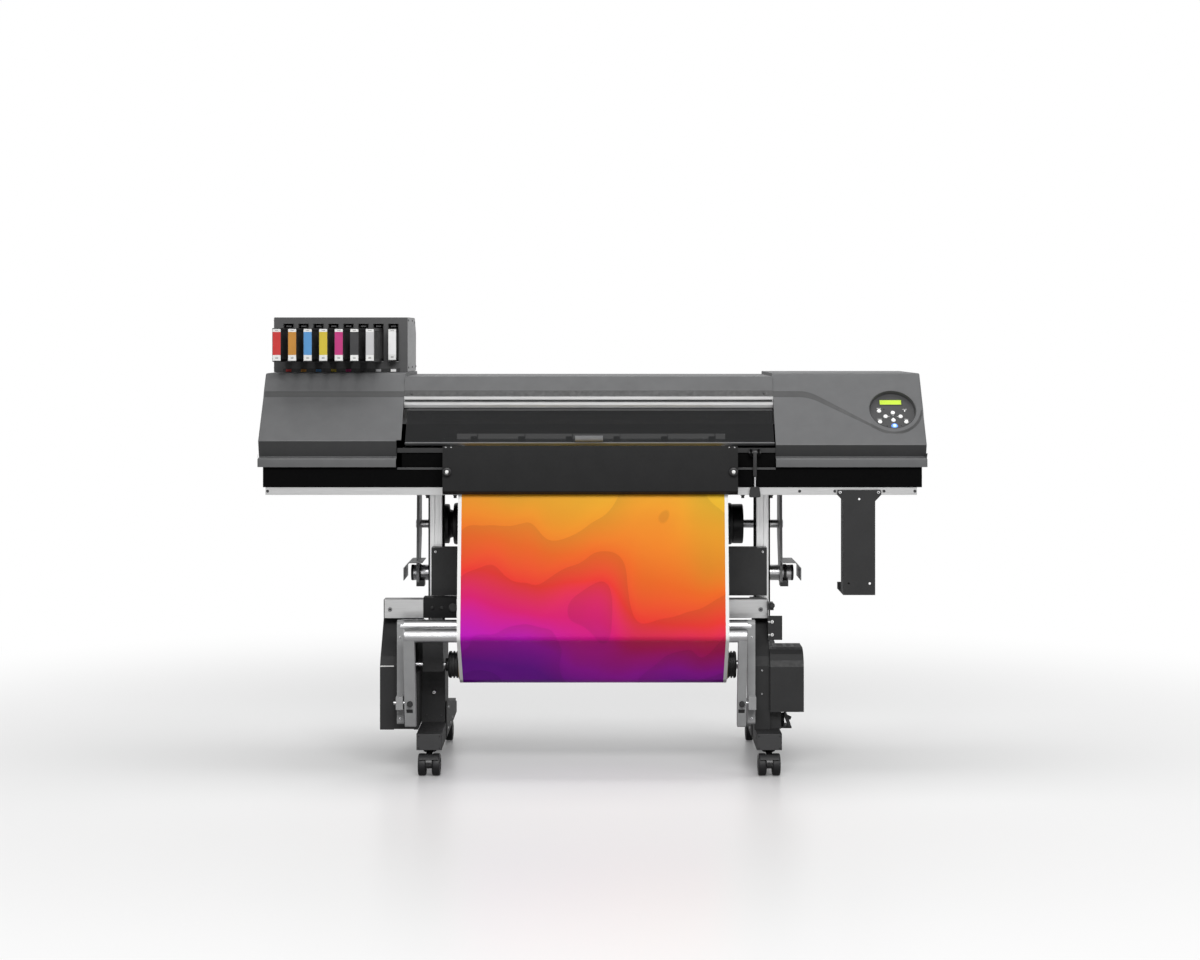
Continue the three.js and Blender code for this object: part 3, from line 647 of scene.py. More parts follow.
buttons = [name for name in frame["nodes"] if name.startswith("button_")]
spots = {name: panel_spot(name) for name in buttons}
dish = Shape().plate("z", circle(0, 0, PANEL_RADIUS - 3, 96), [circle(*spots[n], 6.8) for n in buttons],
                     -16, FLOOR)
rim = [(-15, PANEL_RADIUS), (0.2, PANEL_RADIUS), (1.0, PANEL_RADIUS - 0.7), (1.0, PANEL_RADIUS - 1.4),
       (0.0, PANEL_RADIUS - 2.2), (FLOOR + 1.5, PANEL_RADIUS - 2.8), (FLOOR, PANEL_RADIUS - 3.4),
       (-15, PANEL_RADIUS - 3.4), (-15, PANEL_RADIUS)]
dish.turned(Z_AXIS, rim, (0, 0, 0), 96)
piece("panel_dish", dish.moved(PANEL, X_AXIS, UP, OUT), ["panel"], ["panel_bezel"])

display = Shape()
display.prism("z", rounded(-37, 31, 22.5, 44.5, 2), FLOOR, FLOOR + 0.8)
display.prism("z", rounded(-34, 28, 25.5, 41.5, 0.6), FLOOR + 0.75, FLOOR + 1.1, 1)
piece("panel_display", display.moved(PANEL, X_AXIS, UP, OUT), ["dark", "lcd"], bevel=0.3)

lamps = Shape()
for u, v, paint in [(36, 3.0, 1), (-23.7, 9.0, 0), (-18, -52, 0), (22, -51.5, 0)]:
    lamps.turned(Z_AXIS, [(FLOOR, 2.4), (FLOOR + 0.6, 2.2), (FLOOR + 1.0, 1.2), (FLOOR + 1.1, 0)],
                 (u, v, 0), 20, paint)
piece("panel_lamps", lamps.moved(PANEL, X_AXIS, UP, OUT), ["lamp_off", "white"])

marks = Shape()
for name in buttons:
    u, v = spots[name]
    if name in ("button_menu", "button_enter", "button_pause"):
        marks.box(u - 6, u + 6, v + 9.2, v + 10.4, FLOOR, FLOOR + 0.12)
    elif name != "button_power":
        toward = Vector((spots["button_up"][0] - u,
                         (spots["button_up"][1] + spots["button_down"][1]) / 2 - v))
        tip = Vector((u, v)) + toward.normalized() * 9.2
        marks.turned(Z_AXIS, [(FLOOR, 1.5), (FLOOR + 0.12, 1.5), (FLOOR + 0.12, 0)], (tip.x, tip.y, 0), 3)
marks.box(30, 42, 8.4, 9.4, FLOOR, FLOOR + 0.12)
piece("panel_marks", marks.moved(PANEL, X_AXIS, UP, OUT), ["label"])

for name in buttons:
    u, v = spots[name]
    power = name == "button_power"
    key = Shape().turned(Z_AXIS, [(-20, 0), (-20, 5.6), (-17, 6.2), (-10.6, 6.2), (-9.9, 5.8), (-9.5, 5.0),
                                  (-9.3, 3.2), (-9.25, 0)], (u, v, 0), 40)
    if power:
        key.turned(Z_AXIS, [(-9.3, 3.4), (-9.0, 3.2), (-9.0, 0)], (u, v, 0), 24, 1)
    paints = ["blue_key", "white"] if power else ["white"]
    piece(name + "_cap", key.moved(PANEL, X_AXIS, UP, OUT), paints, [name],
          name.replace("button", "key"))

halo = Shape()
u, v = spots["button_power"]
halo.turned(Z_AXIS, [(FLOOR, 9.6), (FLOOR + 0.5, 9.2), (FLOOR + 0.5, 7.2), (FLOOR, 6.9)], (u, v, 0), 40)
piece("power_key_ring", halo.moved(PANEL, X_AXIS, UP, OUT), ["blue_glow"])

# ---- top cover, front extrusion and window ---------------------------------------------------
top, bar, pane = Span("top_cover"), Span("top_frame"), Span("window_cover")
keep("top_cover", "top", 0.9)
TOP_FOLD = 1087.0  # height of the fold between the top cover's lower strip and its slanted face
top_sheet = frame["nodes"]["top_cover"]
top_sheet.data.materials.append(M["top_shaded"].material)
# the front faces of the lower strip take the darker copy of the top sheet paint, painted shade
for face in top_sheet.data.polygons:
    if face.normal.y < -0.5 and (top_sheet.matrix_world @ face.center).z < TOP_FOLD * MM:
        face.material_index = 1
keep("top_frame", "silver_x", 0.5)
screws("top_cover_screws", [(x, top.y0 + 1.4, 1078.5) for x in (top.x0 + 22, top.x1 - 25)],
       Vector((0, -0.95, 0.3)), 3.6, ("dark", "black"))
seal = Shape().box(bar.x0 + 2, bar.x1 - 2, 118.2, 121, 1054.6, 1058.4)
piece("front_bar_seal", seal, ["rubber"], bevel=0.6)

WINDOW_TOP = Vector((0, 112, 1033))
WINDOW_LOW = Vector((0, 20, 937))
DOWN = (WINDOW_LOW - WINDOW_TOP).normalized()
PROUD = Vector((0, DOWN.z, -DOWN.y))
LENGTH = (WINDOW_LOW - WINDOW_TOP).length


def window_piece(name, profile, x0, x1, keys, replaces=(), bevel=0.0):
    """A window part of even section: profile points are (down the pane, proud of its face)."""
    outline = []
    for along, proud in profile:
        spot = WINDOW_TOP + DOWN * along + PROUD * proud
        outline.append((spot.y, spot.z))
    return piece(name, Shape().prism("x", outline, x0, x1), keys, replaces, "window", bevel)


window_piece("window_pane", [(5, 0), (LENGTH - 4, 0), (LENGTH - 4, -4), (5, -4)], pane.x0, pane.x1,
             ["window"], ["window_cover"], 0.5)
window_piece("window_hinge_strip", [(-1, 0.6), (7, 0.6), (7, -5), (-1, -5)], pane.x0, pane.x1, ["dark"],
             bevel=0.6)
window_piece("window_lower_strip", [(LENGTH - 5, 0.8), (LENGTH - 0.6, 0.8), (LENGTH - 0.6, -9),
                                    (LENGTH - 3.4, -9), (LENGTH - 3.4, -4.6), (LENGTH - 5, -4.6)], pane.x0,
             pane.x1, ["cover"], bevel=0.5)
grip = filleted([(LENGTH - 25, 0.5, 0), (LENGTH - 24, 8, 3), (LENGTH - 12, 12, 4), (LENGTH - 5.5, 7, 3),
                 (LENGTH - 5.2, 0.5, 0)])
window_piece("window_grip", grip, -50, 30, ["cover"], bevel=1.2)
for x in (pane.x0 + 60, pane.x1 - 60):
    window_piece(f"window_stop_{'left' if x < 0 else 'right'}", [(8, -4.2), (30, -4.2), (30, -8), (8, -8)],
                 x - 9, x + 9, ["bright"], bevel=0.6)

# ---- bed, rails and carriages ----------------------------------------------------------------
chassis, bed, rail = Span("chassis"), Span("platen"), Span("guide_rail")
web = Span("media_web")
keep("chassis", "black_steel", 0.4)
keep("platen", "grey_steel", 0.3)
keep("front_rail", "silver_x", 0.8)
keep("guide_rail", "silver_x", 0.6)
keep("drive_belt", "rubber", 0.2)
keep("capping_station", "dark", 1.2)
keep("cutting_carriage", "dark", 1.5)
keep("print_carriage", "black", 1.5)

PINCH_PLACES = range(-350, 351, 140)  # middles of the pinch rollers along the grit roller
grit = Span("grit_roller")
roller = Shape().turned(X_AXIS, [(grit.x0, 0), (grit.x0, 5), (-408, 5), (-407, 11), (-406, 12), (394, 12),
                                 (395, 11), (396, 5), (grit.x1, 5), (grit.x1, 0)], (0, grit.y, grit.z), 48)
for x in PINCH_PLACES:
    roller.turned(X_AXIS, [(x - 14, 12.02), (x - 14, 12.06), (x + 14, 12.06), (x + 14, 12.02)],
                  (0, grit.y, grit.z), 48, 1)
piece("grit_roller_steel", roller, ["bright", "grey_sheet"], ["grit_roller"], "grit")

pinch = Span("pinch_roller_bar")
pivot = joint_point("pinch_lift")
wheel_z = pinch.z0 + 11
pinches = Shape()
pinches.rod((pinch.x0, pivot.y, pivot.z), (pinch.x1, pivot.y, pivot.z), 4, 24)
pinches.box(-424, 416, pivot.y - 8, pivot.y + 8, pivot.z - 6, pivot.z + 6)
for x in PINCH_PLACES:
    pinches.turned(X_AXIS, [(x - 9, 0), (x - 9, 9.6), (x - 7.6, 11), (x + 7.6, 11), (x + 9, 9.6),
                            (x + 9, 0)], (0, grit.y, wheel_z), 32, 1)
    pinches.prism("x", [(grit.y - 6, wheel_z - 2), (grit.y + 6, wheel_z - 2), (pivot.y, pivot.z - 5),
                        (pivot.y - 8, pivot.z + 2), (grit.y - 6, wheel_z + 9)], x + 9.4, x + 11.4)
    pinches.turned(X_AXIS, [(x + 9, 3), (x + 12.4, 3), (x + 12.8, 2.4), (x + 12.8, 0)],
                   (0, grit.y, wheel_z), 20)
piece("pinch_rollers_set", pinches, ["grey_steel", "rubber"], ["pinch_roller_bar"],
      "pinch_rollers", bevel=0.4)

# Strips that close the ends of the bed beside the covers.
for side, x0, x1 in (("left", LEFT_LIP_END + 3, -424.0), ("right", 412.0, right.x0 - 1)):
    strips = Shape()
    strips.box(x0, x1, 12.5, 17.6, 911, 924.5)
    strips.box(x0, x1, 8, 11.6, 863, 869.5, 1)
    piece(f"bed_end_strips_{side}", strips, ["dark_steel", "dark"], bevel=0.8)

# A strip of coloured tags on the carriage rail, seen through the window.
inside = Shape()
inside.box(rail.x0 + 380, rail.x1 - 380, 213.4, 216.2, 1014, 1027)
for x in (-400, -200, 0, 60, 200, 260, 320, 375):
    inside.box(x - 22, x + 22, 212.6, 213.6, 1016, 1024, 1)
inside.box(110, 134, 212.5, 213.6, 1016, 1024, 2)
M["tag_blue"] = moulded("blue_tag", (0.05, 0.07, 0.42), 0.5)
M["tag_red"] = moulded("red_tag", (0.45, 0.04, 0.03), 0.5)
piece("rail_tags", inside, ["black", "tag_blue", "tag_red"], bevel=0.3)
pulleys = Shape()
belt = Span("drive_belt")
for x, r in ((belt.x0 + 16, 13.5), (belt.x1 - 16, 13.5)):
    pulleys.turned(Z_AXIS, [(-14, 0), (-14, 8), (-1, 8), (-1, 17), (0.4, 17), (0.4, r), (8, r), (8, 17),
                            (9, 17), (9.6, 5), (9.6, 0)], (x, belt.y, belt.z0), 40)
piece("belt_pulleys", pulleys, ["bright"])

cut_head = Span("cutting_carriage")
trim = Shape()
trim.box(cut_head.x0 + 6, cut_head.x1 - 6, 118.8, 120.2, 1006, 1022)
trim.turned(Z_AXIS, [(996, 8.5), (997, 10.2), (1001, 10.2), (1002, 8.5), (996, 8.5)], (-715, 110, 0), 32, 1)
piece("cutter_trim", trim, ["grey_sheet", "bright"], body="cutter", bevel=0.5)
head = Span("print_carriage")
trim = Shape()
for x in (head.x0 + 15, head.x1 - 15):
    for i in range(7):
        trim.box(x - 12, x + 12, head.y0 + 10.6, head.y0 + 12.1, 944 + 7.5 * i, 947.5 + 7.5 * i)
trim.box(640, 780, head.y0 - 1, head.y0 + 0.2, 940, 978, 1)
piece("print_head_trim", trim, ["bright", "grey_sheet"], body="print_head", bevel=0.4)


# ---- apron, media lever and drain bracket ----------------------------------------------------
def bent(corners, thickness):
    """The side view of a bent sheet through (depth, height, radius) corners, thickened to the front."""
    line = [Vector(p) for p in filleted(corners, closed=False)]
    outer = []
    for i, point in enumerate(line):
        along = (line[min(i + 1, len(line) - 1)] - line[max(i - 1, 0)]).normalized()
        outer.append(point + Vector((-along.y, along.x)) * thickness)
    return [tuple(p) for p in line] + [tuple(p) for p in reversed(outer)]


apron = Span("front_apron")
KNOB = 13.0  # how far the knobs stand in from the apron's ends
sheet = Shape()
fold = [(-52, 799, 0), (-64, 807, 2.5), (-53, 934, 0)]
sheet.prism("x", bent(fold, WALL), apron.x0, apron.x1)
for x in (apron.x0, apron.x1 - WALL):
    sheet.prism("x", [(-61.5, 810), (-30, 846), (17.5, 880), (17.5, 912), (-20, 924), (-54, 933),
                      (-63, 830)], x, x + WALL)
# the apron sheet takes the darker copy of the dark steel paint, painted shade
piece("apron_sheet", sheet, ["apron"], ["front_apron"], bevel=0.7)
knobs = Shape()
for x in (apron.x0 + KNOB, apron.x1 - KNOB):
    knobs.turned(-Y_AXIS, [(60, 0), (60, 11), (68, 12), (73.5, 12), (75, 10.5), (75.4, 8)], (x, 0, 862), 36)
    knobs.turned(-Y_AXIS, [(75.4, 8), (74.2, 5.2)], (x, 0, 862), 36)
    knobs.turned(-Y_AXIS, [(74.2, 5.2), (75.8, 4.8), (76.2, 3.6), (76.2, 0)], (x, 0, 862), 36, 1)
piece("apron_knobs", knobs, ["black", "white"])
screws("apron_screws", [(x, -55.5, 930) for x in (apron.x0 + 9, apron.x0 + 24, apron.x1 - 24,
                                                  apron.x1 - 9)], Vector((0, -0.996, 0.087)),
       2.0)

lever = Span("media_lever")
handle = Shape()
handle.rod((lever.x0, 0, 912), (lever.x1, 0, 912), 4)
handle.prism("x", filleted([(-5, 843, 3), (5, 843, 3), (6.5, 919.5, 6), (-6.5, 919.5, 6)]), 456.5, 466.5)
handle.rod((lever.x, 0, 848), (lever.x, 0, 806), 3, paint=1)
paddle = filleted([(449, 815, 4), (444.6, 785.2, 5), (478.4, 785.2, 5), (474, 815, 4)])
handle.prism("y", paddle, -4, 4)
piece("media_lever_handle", handle, ["black", "bright"], ["media_lever"], "lever", bevel=1.0)

drain = Span("drain_bottle_bracket")
bracket = Shape()
left_edge, right_edge = drain.x0 + 17, drain.x1 - 17
face = drain.y0
outline = filleted([(left_edge, drain.z0, 3), (right_edge, drain.z0, 3), (right_edge, 774, 2),
                    (drain.x1, 792, 3), (drain.x1, 806, 3), (drain.x0, 806, 3), (drain.x0, 792, 3),
                    (left_edge, 774, 2)])
holes = [circle(drain.x, 780, 3.2, 16)] + [circle(drain.x + s * 30, 540, 3.4, 16) for s in (-1, 1)]
bracket.plate("y", outline, holes, face, face + 2)
bracket.box(left_edge, left_edge + 2, face + 1, face + 65, drain.z0, 786)
bracket.box(right_edge - 2, right_edge, face + 1, face + 12, drain.z0 + 6, 786)
bracket.box(left_edge, right_edge, face + 1, drain.y1, drain.z0, drain.z0 + 2)
bracket.box(left_edge, right_edge, drain.y1 - 2, drain.y1, drain.z0, drain.z0 + 20)
piece("drain_bottle_holder", bracket, ["dark_steel"], ["drain_bottle_bracket"], bevel=0.5)
screws("drain_bracket_screws", [(drain.x0 + 8, face, 799), (drain.x1 - 8, face, 799)], -Y_AXIS,
       4.2)

# ---- ink unit --------------------------------------------------------------------------------
ink = Span("ink_unit_case")
keep("ink_unit_case", "ink", 0.8)
side_view = filleted([(ink.y0 + 1.5, ink.z0 + 1, 3), (ink.y1 - 2, ink.z0 + 1, 3),
                      (ink.y1 - 2, ink.z1 - 47, 8), (ink.y1 - 47, ink.z1 - 1.5, 8),
                      (ink.y0 + 1.5, ink.z1 - 1.5, 3)])
for side, x0, x1, out in (("left", ink.x0 - 1.4, ink.x0, -X_AXIS), ("right", ink.x1, ink.x1 + 1.4, X_AXIS)):
    piece(f"ink_side_sheet_{side}", Shape().prism("x", side_view, x0, x1), ["grey_sheet"],
          bevel=0.5)
    face = x0 if side == "left" else x1
    places = [(face, y, z) for y, z in ((ink.y0 + 14, ink.z1 - 9), (ink.y0 + 14, ink.z0 + 14),
                                        (ink.y0 + 150, ink.z1 - 9), (ink.y1 - 60, ink.z1 - 14),
                                        (ink.y0 + 150, ink.z0 + 14), (ink.y1 - 14, ink.z0 + 14))]
    screws(f"ink_side_screws_{side}", places, out, 3.2, ("dark", "black"))

cartridges = sorted(name for name in frame["nodes"] if name.startswith("ink_cartridge_"))
spans = [Span(name) for name in cartridges]
inks = {"red": (0.50, 0.02, 0.018), "orange": (0.46, 0.2, 0.02), "light_blue": (0.07, 0.25, 0.52),
        "yellow": (0.56, 0.43, 0.025), "magenta": (0.44, 0.018, 0.16), "black": (0.02, 0.02, 0.022),
        "light_grey": (0.50, 0.50, 0.51), "white": (0.80, 0.80, 0.80)}
for colour, value in inks.items():
    M["ink_" + colour] = moulded("ink_label_" + colour, value, 0.42)

front_trim = Shape()
front_trim.box(ink.x0 + 26, ink.x1 - 22, ink.y0 - 0.9, ink.y0 + 0.4, ink.z0 + 1, ink.z0 + 11, 1)
for box in spans:
    front_trim.box(box.x - 14.5, box.x + 14.5, ink.y0 - 5, ink.y0 + 0.4, box.z0 - 3.0, box.z0 - 0.8)
    for x in (box.x + 13.6, box.x - 15.6):
        front_trim.box(x, x + 2, ink.y0 - 1.6, ink.y0 + 20, box.z0 + 3, box.z1 + 12, 1)
    front_trim.box(box.x - 8, box.x + 8, ink.y0 + 2, ink.y0 + 40, box.z1 + 4, box.z1 + 8, 2)
piece("ink_slot_trim", front_trim, ["grey_sheet", "black", "dark"], bevel=0.4)
tags = Shape()
for i, box in enumerate(spans):
    tags.box(box.x - 8, box.x + 8, ink.y0 - 1.5, ink.y0 - 0.6, ink.z0 + 1.6, ink.z0 + 9.4, i)
piece("ink_colour_tags", tags, ["ink_" + colour for colour in inks], bevel=0.25)

for i, (node, box, colour) in enumerate(zip(cartridges, spans, inks)):
    ribs = Shape()
    half = (box.x1 - box.x0) / 2
    shell = filleted([(box.y0 + 1, box.z0 + 0.2, 3), (box.y1, box.z0 + 0.2, 2), (box.y1, box.z1, 2),
                      (box.y0 + 1, box.z1, 4)])
    ribs.prism("x", shell, box.x - half + 1.4, box.x + half - 1.4)
    ribs.box(box.x - half, box.x + half, box.y0, box.y0 + 14, box.z0 + 1.5, box.z1 - 0.5)
    y = box.y0 + 26
    while y < box.y1 - 8:
        ribs.box(box.x - half, box.x + half, y, y + 5, box.z0 + 5, box.z1 - 5)
        y += 22
    for z in (box.z0 + 5, box.z1 - 8):
        ribs.box(box.x - half, box.x + half, box.y0 + 4, box.y1 - 2, z, z + 3)
    high, width, front = box.z1 - box.z0 - 7, half - 1.0, box.y0 - 0.5
    low = box.z0 + 4
    for start, end, paint in ((0, 0.18, 1), (0.18, 0.91, 2), (0.91, 1, 1)):
        ribs.box(box.x - width, box.x + width, front, box.y0 + 1, low + high * start, low + high * end,
                 paint)
    for reach, z in ((4, low + 6), (4, low + 9), (5, low + high - 4.6)):
        ribs.box(box.x - reach, box.x + reach, front - 0.12, front + 0.2, z, z + 1.2, 3)
    piece(f"cartridge_{i + 1}_case", ribs, ["black", "label", "ink_" + colour, "dark"], [node],
          f"cartridge_{i + 1}", bevel=0.6)

# Rear face of the ink unit: two tube glands, a vent and its fixing screws.
back = Shape()
for x in (ink.x - 90, ink.x + 90):
    back.turned(Y_AXIS, [(0, 17), (4, 17), (5, 15), (9, 13), (9, 9), (2, 9), (2, 0)],
                (x, ink.y1, ink.z0 + 60), 36)
for row in range(5):
    z = ink.z0 + 34 + 9 * row
    back.box(ink.x - 45, ink.x + 45, ink.y1 - 0.3, ink.y1 + 1.3, z, z + 4)
piece("ink_rear_fittings", back, ["black"], bevel=0.5)
screws("ink_rear_screws", [(x, ink.y1, z) for x in (ink.x0 + 16, ink.x, ink.x1 - 16)
                           for z in (ink.z0 + 16, ink.z1 - 58)], Y_AXIS, 3.4)


# ---- stand -----------------------------------------------------------------------------------
SHROUD_TOP = 350  # height of the sheet shroud round each leg
SHEET = 2.5  # thickness of its sheet

for side in ("left", "right"):
    leg, foot = Span(side + "_leg"), Span(side + "_foot_beam")
    post = Shape()
    half, front, rear = 18.5, 245.0, 300.0
    section = filleted([(leg.x - half, front, 2), (leg.x - 4, front, 0), (leg.x - 4, front + 2.5, 0),
                        (leg.x + 4, front + 2.5, 0), (leg.x + 4, front, 0), (leg.x + half, front, 2),
                        (leg.x + half, rear, 2), (leg.x - half, rear, 2)])
    post.prism("z", section, 340, leg.z1)
    for x0, x1 in ((leg.x - half - 4.5, leg.x - half + 0.5), (leg.x + half - 0.5, leg.x + half + 4.5)):
        post.box(x0, x1, front + 3, rear - 2, 352, leg.z1 - 1, 1)
    # the posts take the lighter upright aluminium, painted light
    piece(f"{side}_leg_post", post, ["silver_z", "black_steel"], [side + "_leg"], bevel=0.4)
    shroud = Shape()
    face = [circle(leg.x, 207, 4, 16)]
    shroud.plate("y", rounded(leg.x0, leg.x1, leg.z0, SHROUD_TOP, 2), face, leg.y0, leg.y0 + SHEET)
    for x0, x1 in ((leg.x0, leg.x0 + SHEET), (leg.x1 - SHEET, leg.x1)):
        shroud.prism("x", [(leg.y0 + 1, leg.z0), (rear, leg.z0), (rear, 350), (leg.y0 + 40, 350),
                           (leg.y0 + 1, 330)], x0, x1)
    shroud.box(leg.x0 + 1, leg.x1 - 1, rear - SHEET, rear, leg.z0, SHROUD_TOP)
    shroud.box(leg.x0 + 2, leg.x1 - 2, leg.y0 + 2, rear - 2, SHROUD_TOP - 4, SHROUD_TOP - 1.5)
    piece(f"{side}_leg_shroud", shroud, ["dark_steel"], bevel=0.5)
    screws(f"{side}_leg_screws", [(leg.x + s, leg.y0, z) for s, z in ((-22, 140), (22, 140))], -Y_AXIS,
           3.0, ("dark", "black"))
    screws(f"{side}_leg_large_screw", [(leg.x, leg.y0, 207)], -Y_AXIS, 5.2)
    keep(side + "_foot_beam", "dark_steel", 1.6)
    caps = Shape()
    for y0, y1 in ((foot.y0 - 2.2, foot.y0 + 0.2), (foot.y1 - 0.2, foot.y1 + 2.2)):
        caps.prism("y", rounded(foot.x0 + 0.6, foot.x1 - 0.6, foot.z0 + 0.6, foot.z1 - 0.6, 3), y0, y1)
    piece(f"{side}_foot_caps", caps, ["dark"], bevel=0.7)
    for end, y, out in (("front", foot.y0 - 2.2, -Y_AXIS), ("rear", foot.y1 + 2.2, Y_AXIS)):
        spots_on_cap = [(x, y, z) for x in (foot.x0 + 6, foot.x1 - 6)
                        for z in (foot.z0 + 6.5, foot.z1 - 6.5)]
        screws(f"{side}_foot_cap_screws_{end}", spots_on_cap, out, 2.2, ("black", "rubber"))
    gusset = Shape()
    s = 1 if side == "left" else -1
    edge = foot.x1 if side == "left" else foot.x0
    inner = sorted((edge, edge + s * 3))
    gusset.prism("x", filleted([(150, foot.z0 + 4, 3), (foot.y1 - 3, foot.z0 + 4, 3),
                                (foot.y1 - 3, foot.z1 - 8, 6), (162, foot.z1 + 62, 6),
                                (150, foot.z1 + 40, 3)]), *inner)
    piece(f"{side}_foot_gusset", gusset, ["dark_steel"], bevel=0.5)
    face = inner[1] if s > 0 else inner[0]
    screws(f"{side}_gusset_screws", [(face, y, z) for y, z in ((205, 96), (300, 96), (395, 96), (190, 160),
                                                                (250, 150))], X_AXIS * s, 4)

beam, guide_beam = Span("stand_cross_beam"), Span("takeup_beam")
keep("stand_cross_beam", "dark_steel", 1.2)
keep("takeup_beam", "silver_x", 1.0)
screws("cross_beam_screws", [(x, beam.y0, beam.z1 - 12) for x in (beam.x0 + 12, beam.x1 - 12)], -Y_AXIS,
       3.6)
screws("takeup_beam_screws", [(x, guide_beam.y0, 455.3) for x in (guide_beam.x0 + 16, guide_beam.x1 - 18)],
       -Y_AXIS, 6.4, ("grey_steel", "black"))
ends = Shape()
for x0, x1 in ((guide_beam.x0 - 2.5, guide_beam.x0 + 0.2), (guide_beam.x1 - 0.2, guide_beam.x1 + 2.5)):
    ends.prism("x", rounded(100.5, 149.5, 430.5, 483, 2), x0, x1)
piece("takeup_beam_caps", ends, ["dark"], bevel=0.6)

clamp = Shape()
clamp.prism("y", filleted([(-488, 430.5, 3), (-393, 430.5, 3), (-393, 489, 3), (-488, 489, 3)]), 96.5, 99.6)
clamp.box(-488, -393, 97, 152, 485.6, 489)
clamp.turned(-Y_AXIS, [(-96.6, 13), (-94, 13), (-92.6, 11), (-92.6, 0)], (-402, 0, 460), 36, 1)
for x in (-462.6, -434.6):
    clamp.screw((x, 96.6, 460), -Y_AXIS, 5, 1)
# the clamp takes the apron's darker copy of the dark steel paint, painted shade
piece("takeup_beam_clamp", clamp, ["apron", "black"], bevel=0.5)

# ---- casters ---------------------------------------------------------------------------------
def curved_strip(y, z, inner, outer, start, end):
    """A strip that follows a circle in the side view, with a step every ten degrees."""
    out_and_back = ((inner, range(start, end + 1, 10)), (outer, range(end, start - 1, -10)))
    return [(y + r * math.cos(t), z + r * math.sin(t))
            for r, turn in out_and_back for t in map(math.radians, turn)]


for side in ("left", "right"):
    for end in ("front", "rear"):
        wheels = Span(f"caster_wheels_{end}_{side}")
        body = Span(f"caster_body_{end}_{side}")
        x, axle, centre = wheels.x, wheels.y, (wheels.z0 + wheels.z1) / 2
        stem_y = body.y1 - 19
        fork = Shape()
        fork.prism("x", filleted([(stem_y + 11, 66, 2), (stem_y + 12, 48, 6), (axle + 12, 20, 8),
                                  (axle - 12, 20, 8), (axle - 13, 44, 8), (stem_y - 15, 66, 2)]), x - 6,
                   x + 6)
        hood = curved_strip(axle, centre, 32, 34, 70, 190)
        fork.prism("x", hood, x - 9, x + 9)
        brake = curved_strip(axle, centre, 32, 36, 120, 150)
        fork.prism("x", brake, x - 27, x + 27, 2)
        fork.turned(Z_AXIS, [(63.5, 0), (63.5, 15), (65, 18.5), (68.8, 19.5), (70.4, 18), (70.4, 0)],
                    (x, stem_y, 0), 40)
        fork.turned(Z_AXIS, [(70.3, 0), (70.3, 9.5), (73.6, 9.5), (73.6, 0)], (x, stem_y, 0), 6, 1)
        piece(f"caster_fork_{end}_{side}", fork, ["gloss_black", "bright", "black"],
              [f"caster_body_{end}_{side}"], f"swivel_{end}_{side}", bevel=0.7)
        tread = Shape()
        for s in (-1, 1):
            sides = [(6.6, 4.6), (7.4, 20), (8.2, 27.5), (9.6, 29.6)]
            rolling = [(9.6, 29.6), (11.4, 30.7), (14, 31), (27, 31), (29.4, 30.4)]
            outer = [(29.4, 30.4), (31, 28.2), (31.5, 25.5), (31.5, 20), (30, 18.6), (29.2, 12), (30.6, 9),
                     (31, 0)]
            for profile, paint in ((sides, 0), (rolling, 1), (outer, 0)):
                tread.turned(X_AXIS * s, profile, (x, axle, centre), 48, paint)
        tread.rod((x - 29, axle, centre), (x + 29, axle, centre), 4.3, 20, 2)
        piece(f"caster_wheel_pair_{end}_{side}", tread, ["gloss_black", "tyre", "bright"],
              [f"caster_wheels_{end}_{side}"], f"wheels_{end}_{side}")

# ---- take-up unit ----------------------------------------------------------------------------
housing, motor = Span("takeup_left_housing"), Span("takeup_right_housing")
keep("takeup_left_housing", "dark_steel", 1.4)
keep("takeup_right_housing", "dark_steel", 1.4)
SEAM = 302.0  # height of the seams across the front of both housings
BOLT_HEIGHTS = (424, 387)  # on the motor bracket
seams = Shape()
seams.box(housing.x0 + 0.6, housing.x0 + 39.4, housing.y0 - 0.6, housing.y0 + 1, SEAM - 1.5, SEAM + 1.5, 1)
seams.box(motor.x0 + 0.6, motor.x0 + 44, 23.4, 25, SEAM - 2, SEAM + 1)
piece("takeup_seams", seams, ["black", "label"], bevel=0.2)
vents = Shape()
for x in (519, 548, 570):
    vents.box(x, x + 10, 68, 146, 350.4, 351.6)
for i in range(6):
    z = 210 + 14 * i
    vents.box(motor.x1 - 0.6, motor.x1 + 0.6, 45, 110, z, z + 6)
piece("motor_vents", vents, ["black"], bevel=0.2)
screws("housing_screws", [(483.5, 24, z) for z in (290, 223)], -Y_AXIS, 2.6)
for name, x, y, radius in (("screws", 515, 60, 4.6), ("studs", 506, 59, 2.6)):
    screws("motor_bracket_" + name, [(x, y, z) for z in BOLT_HEIGHTS], -Y_AXIS, radius,
           ("white", "rubber"))

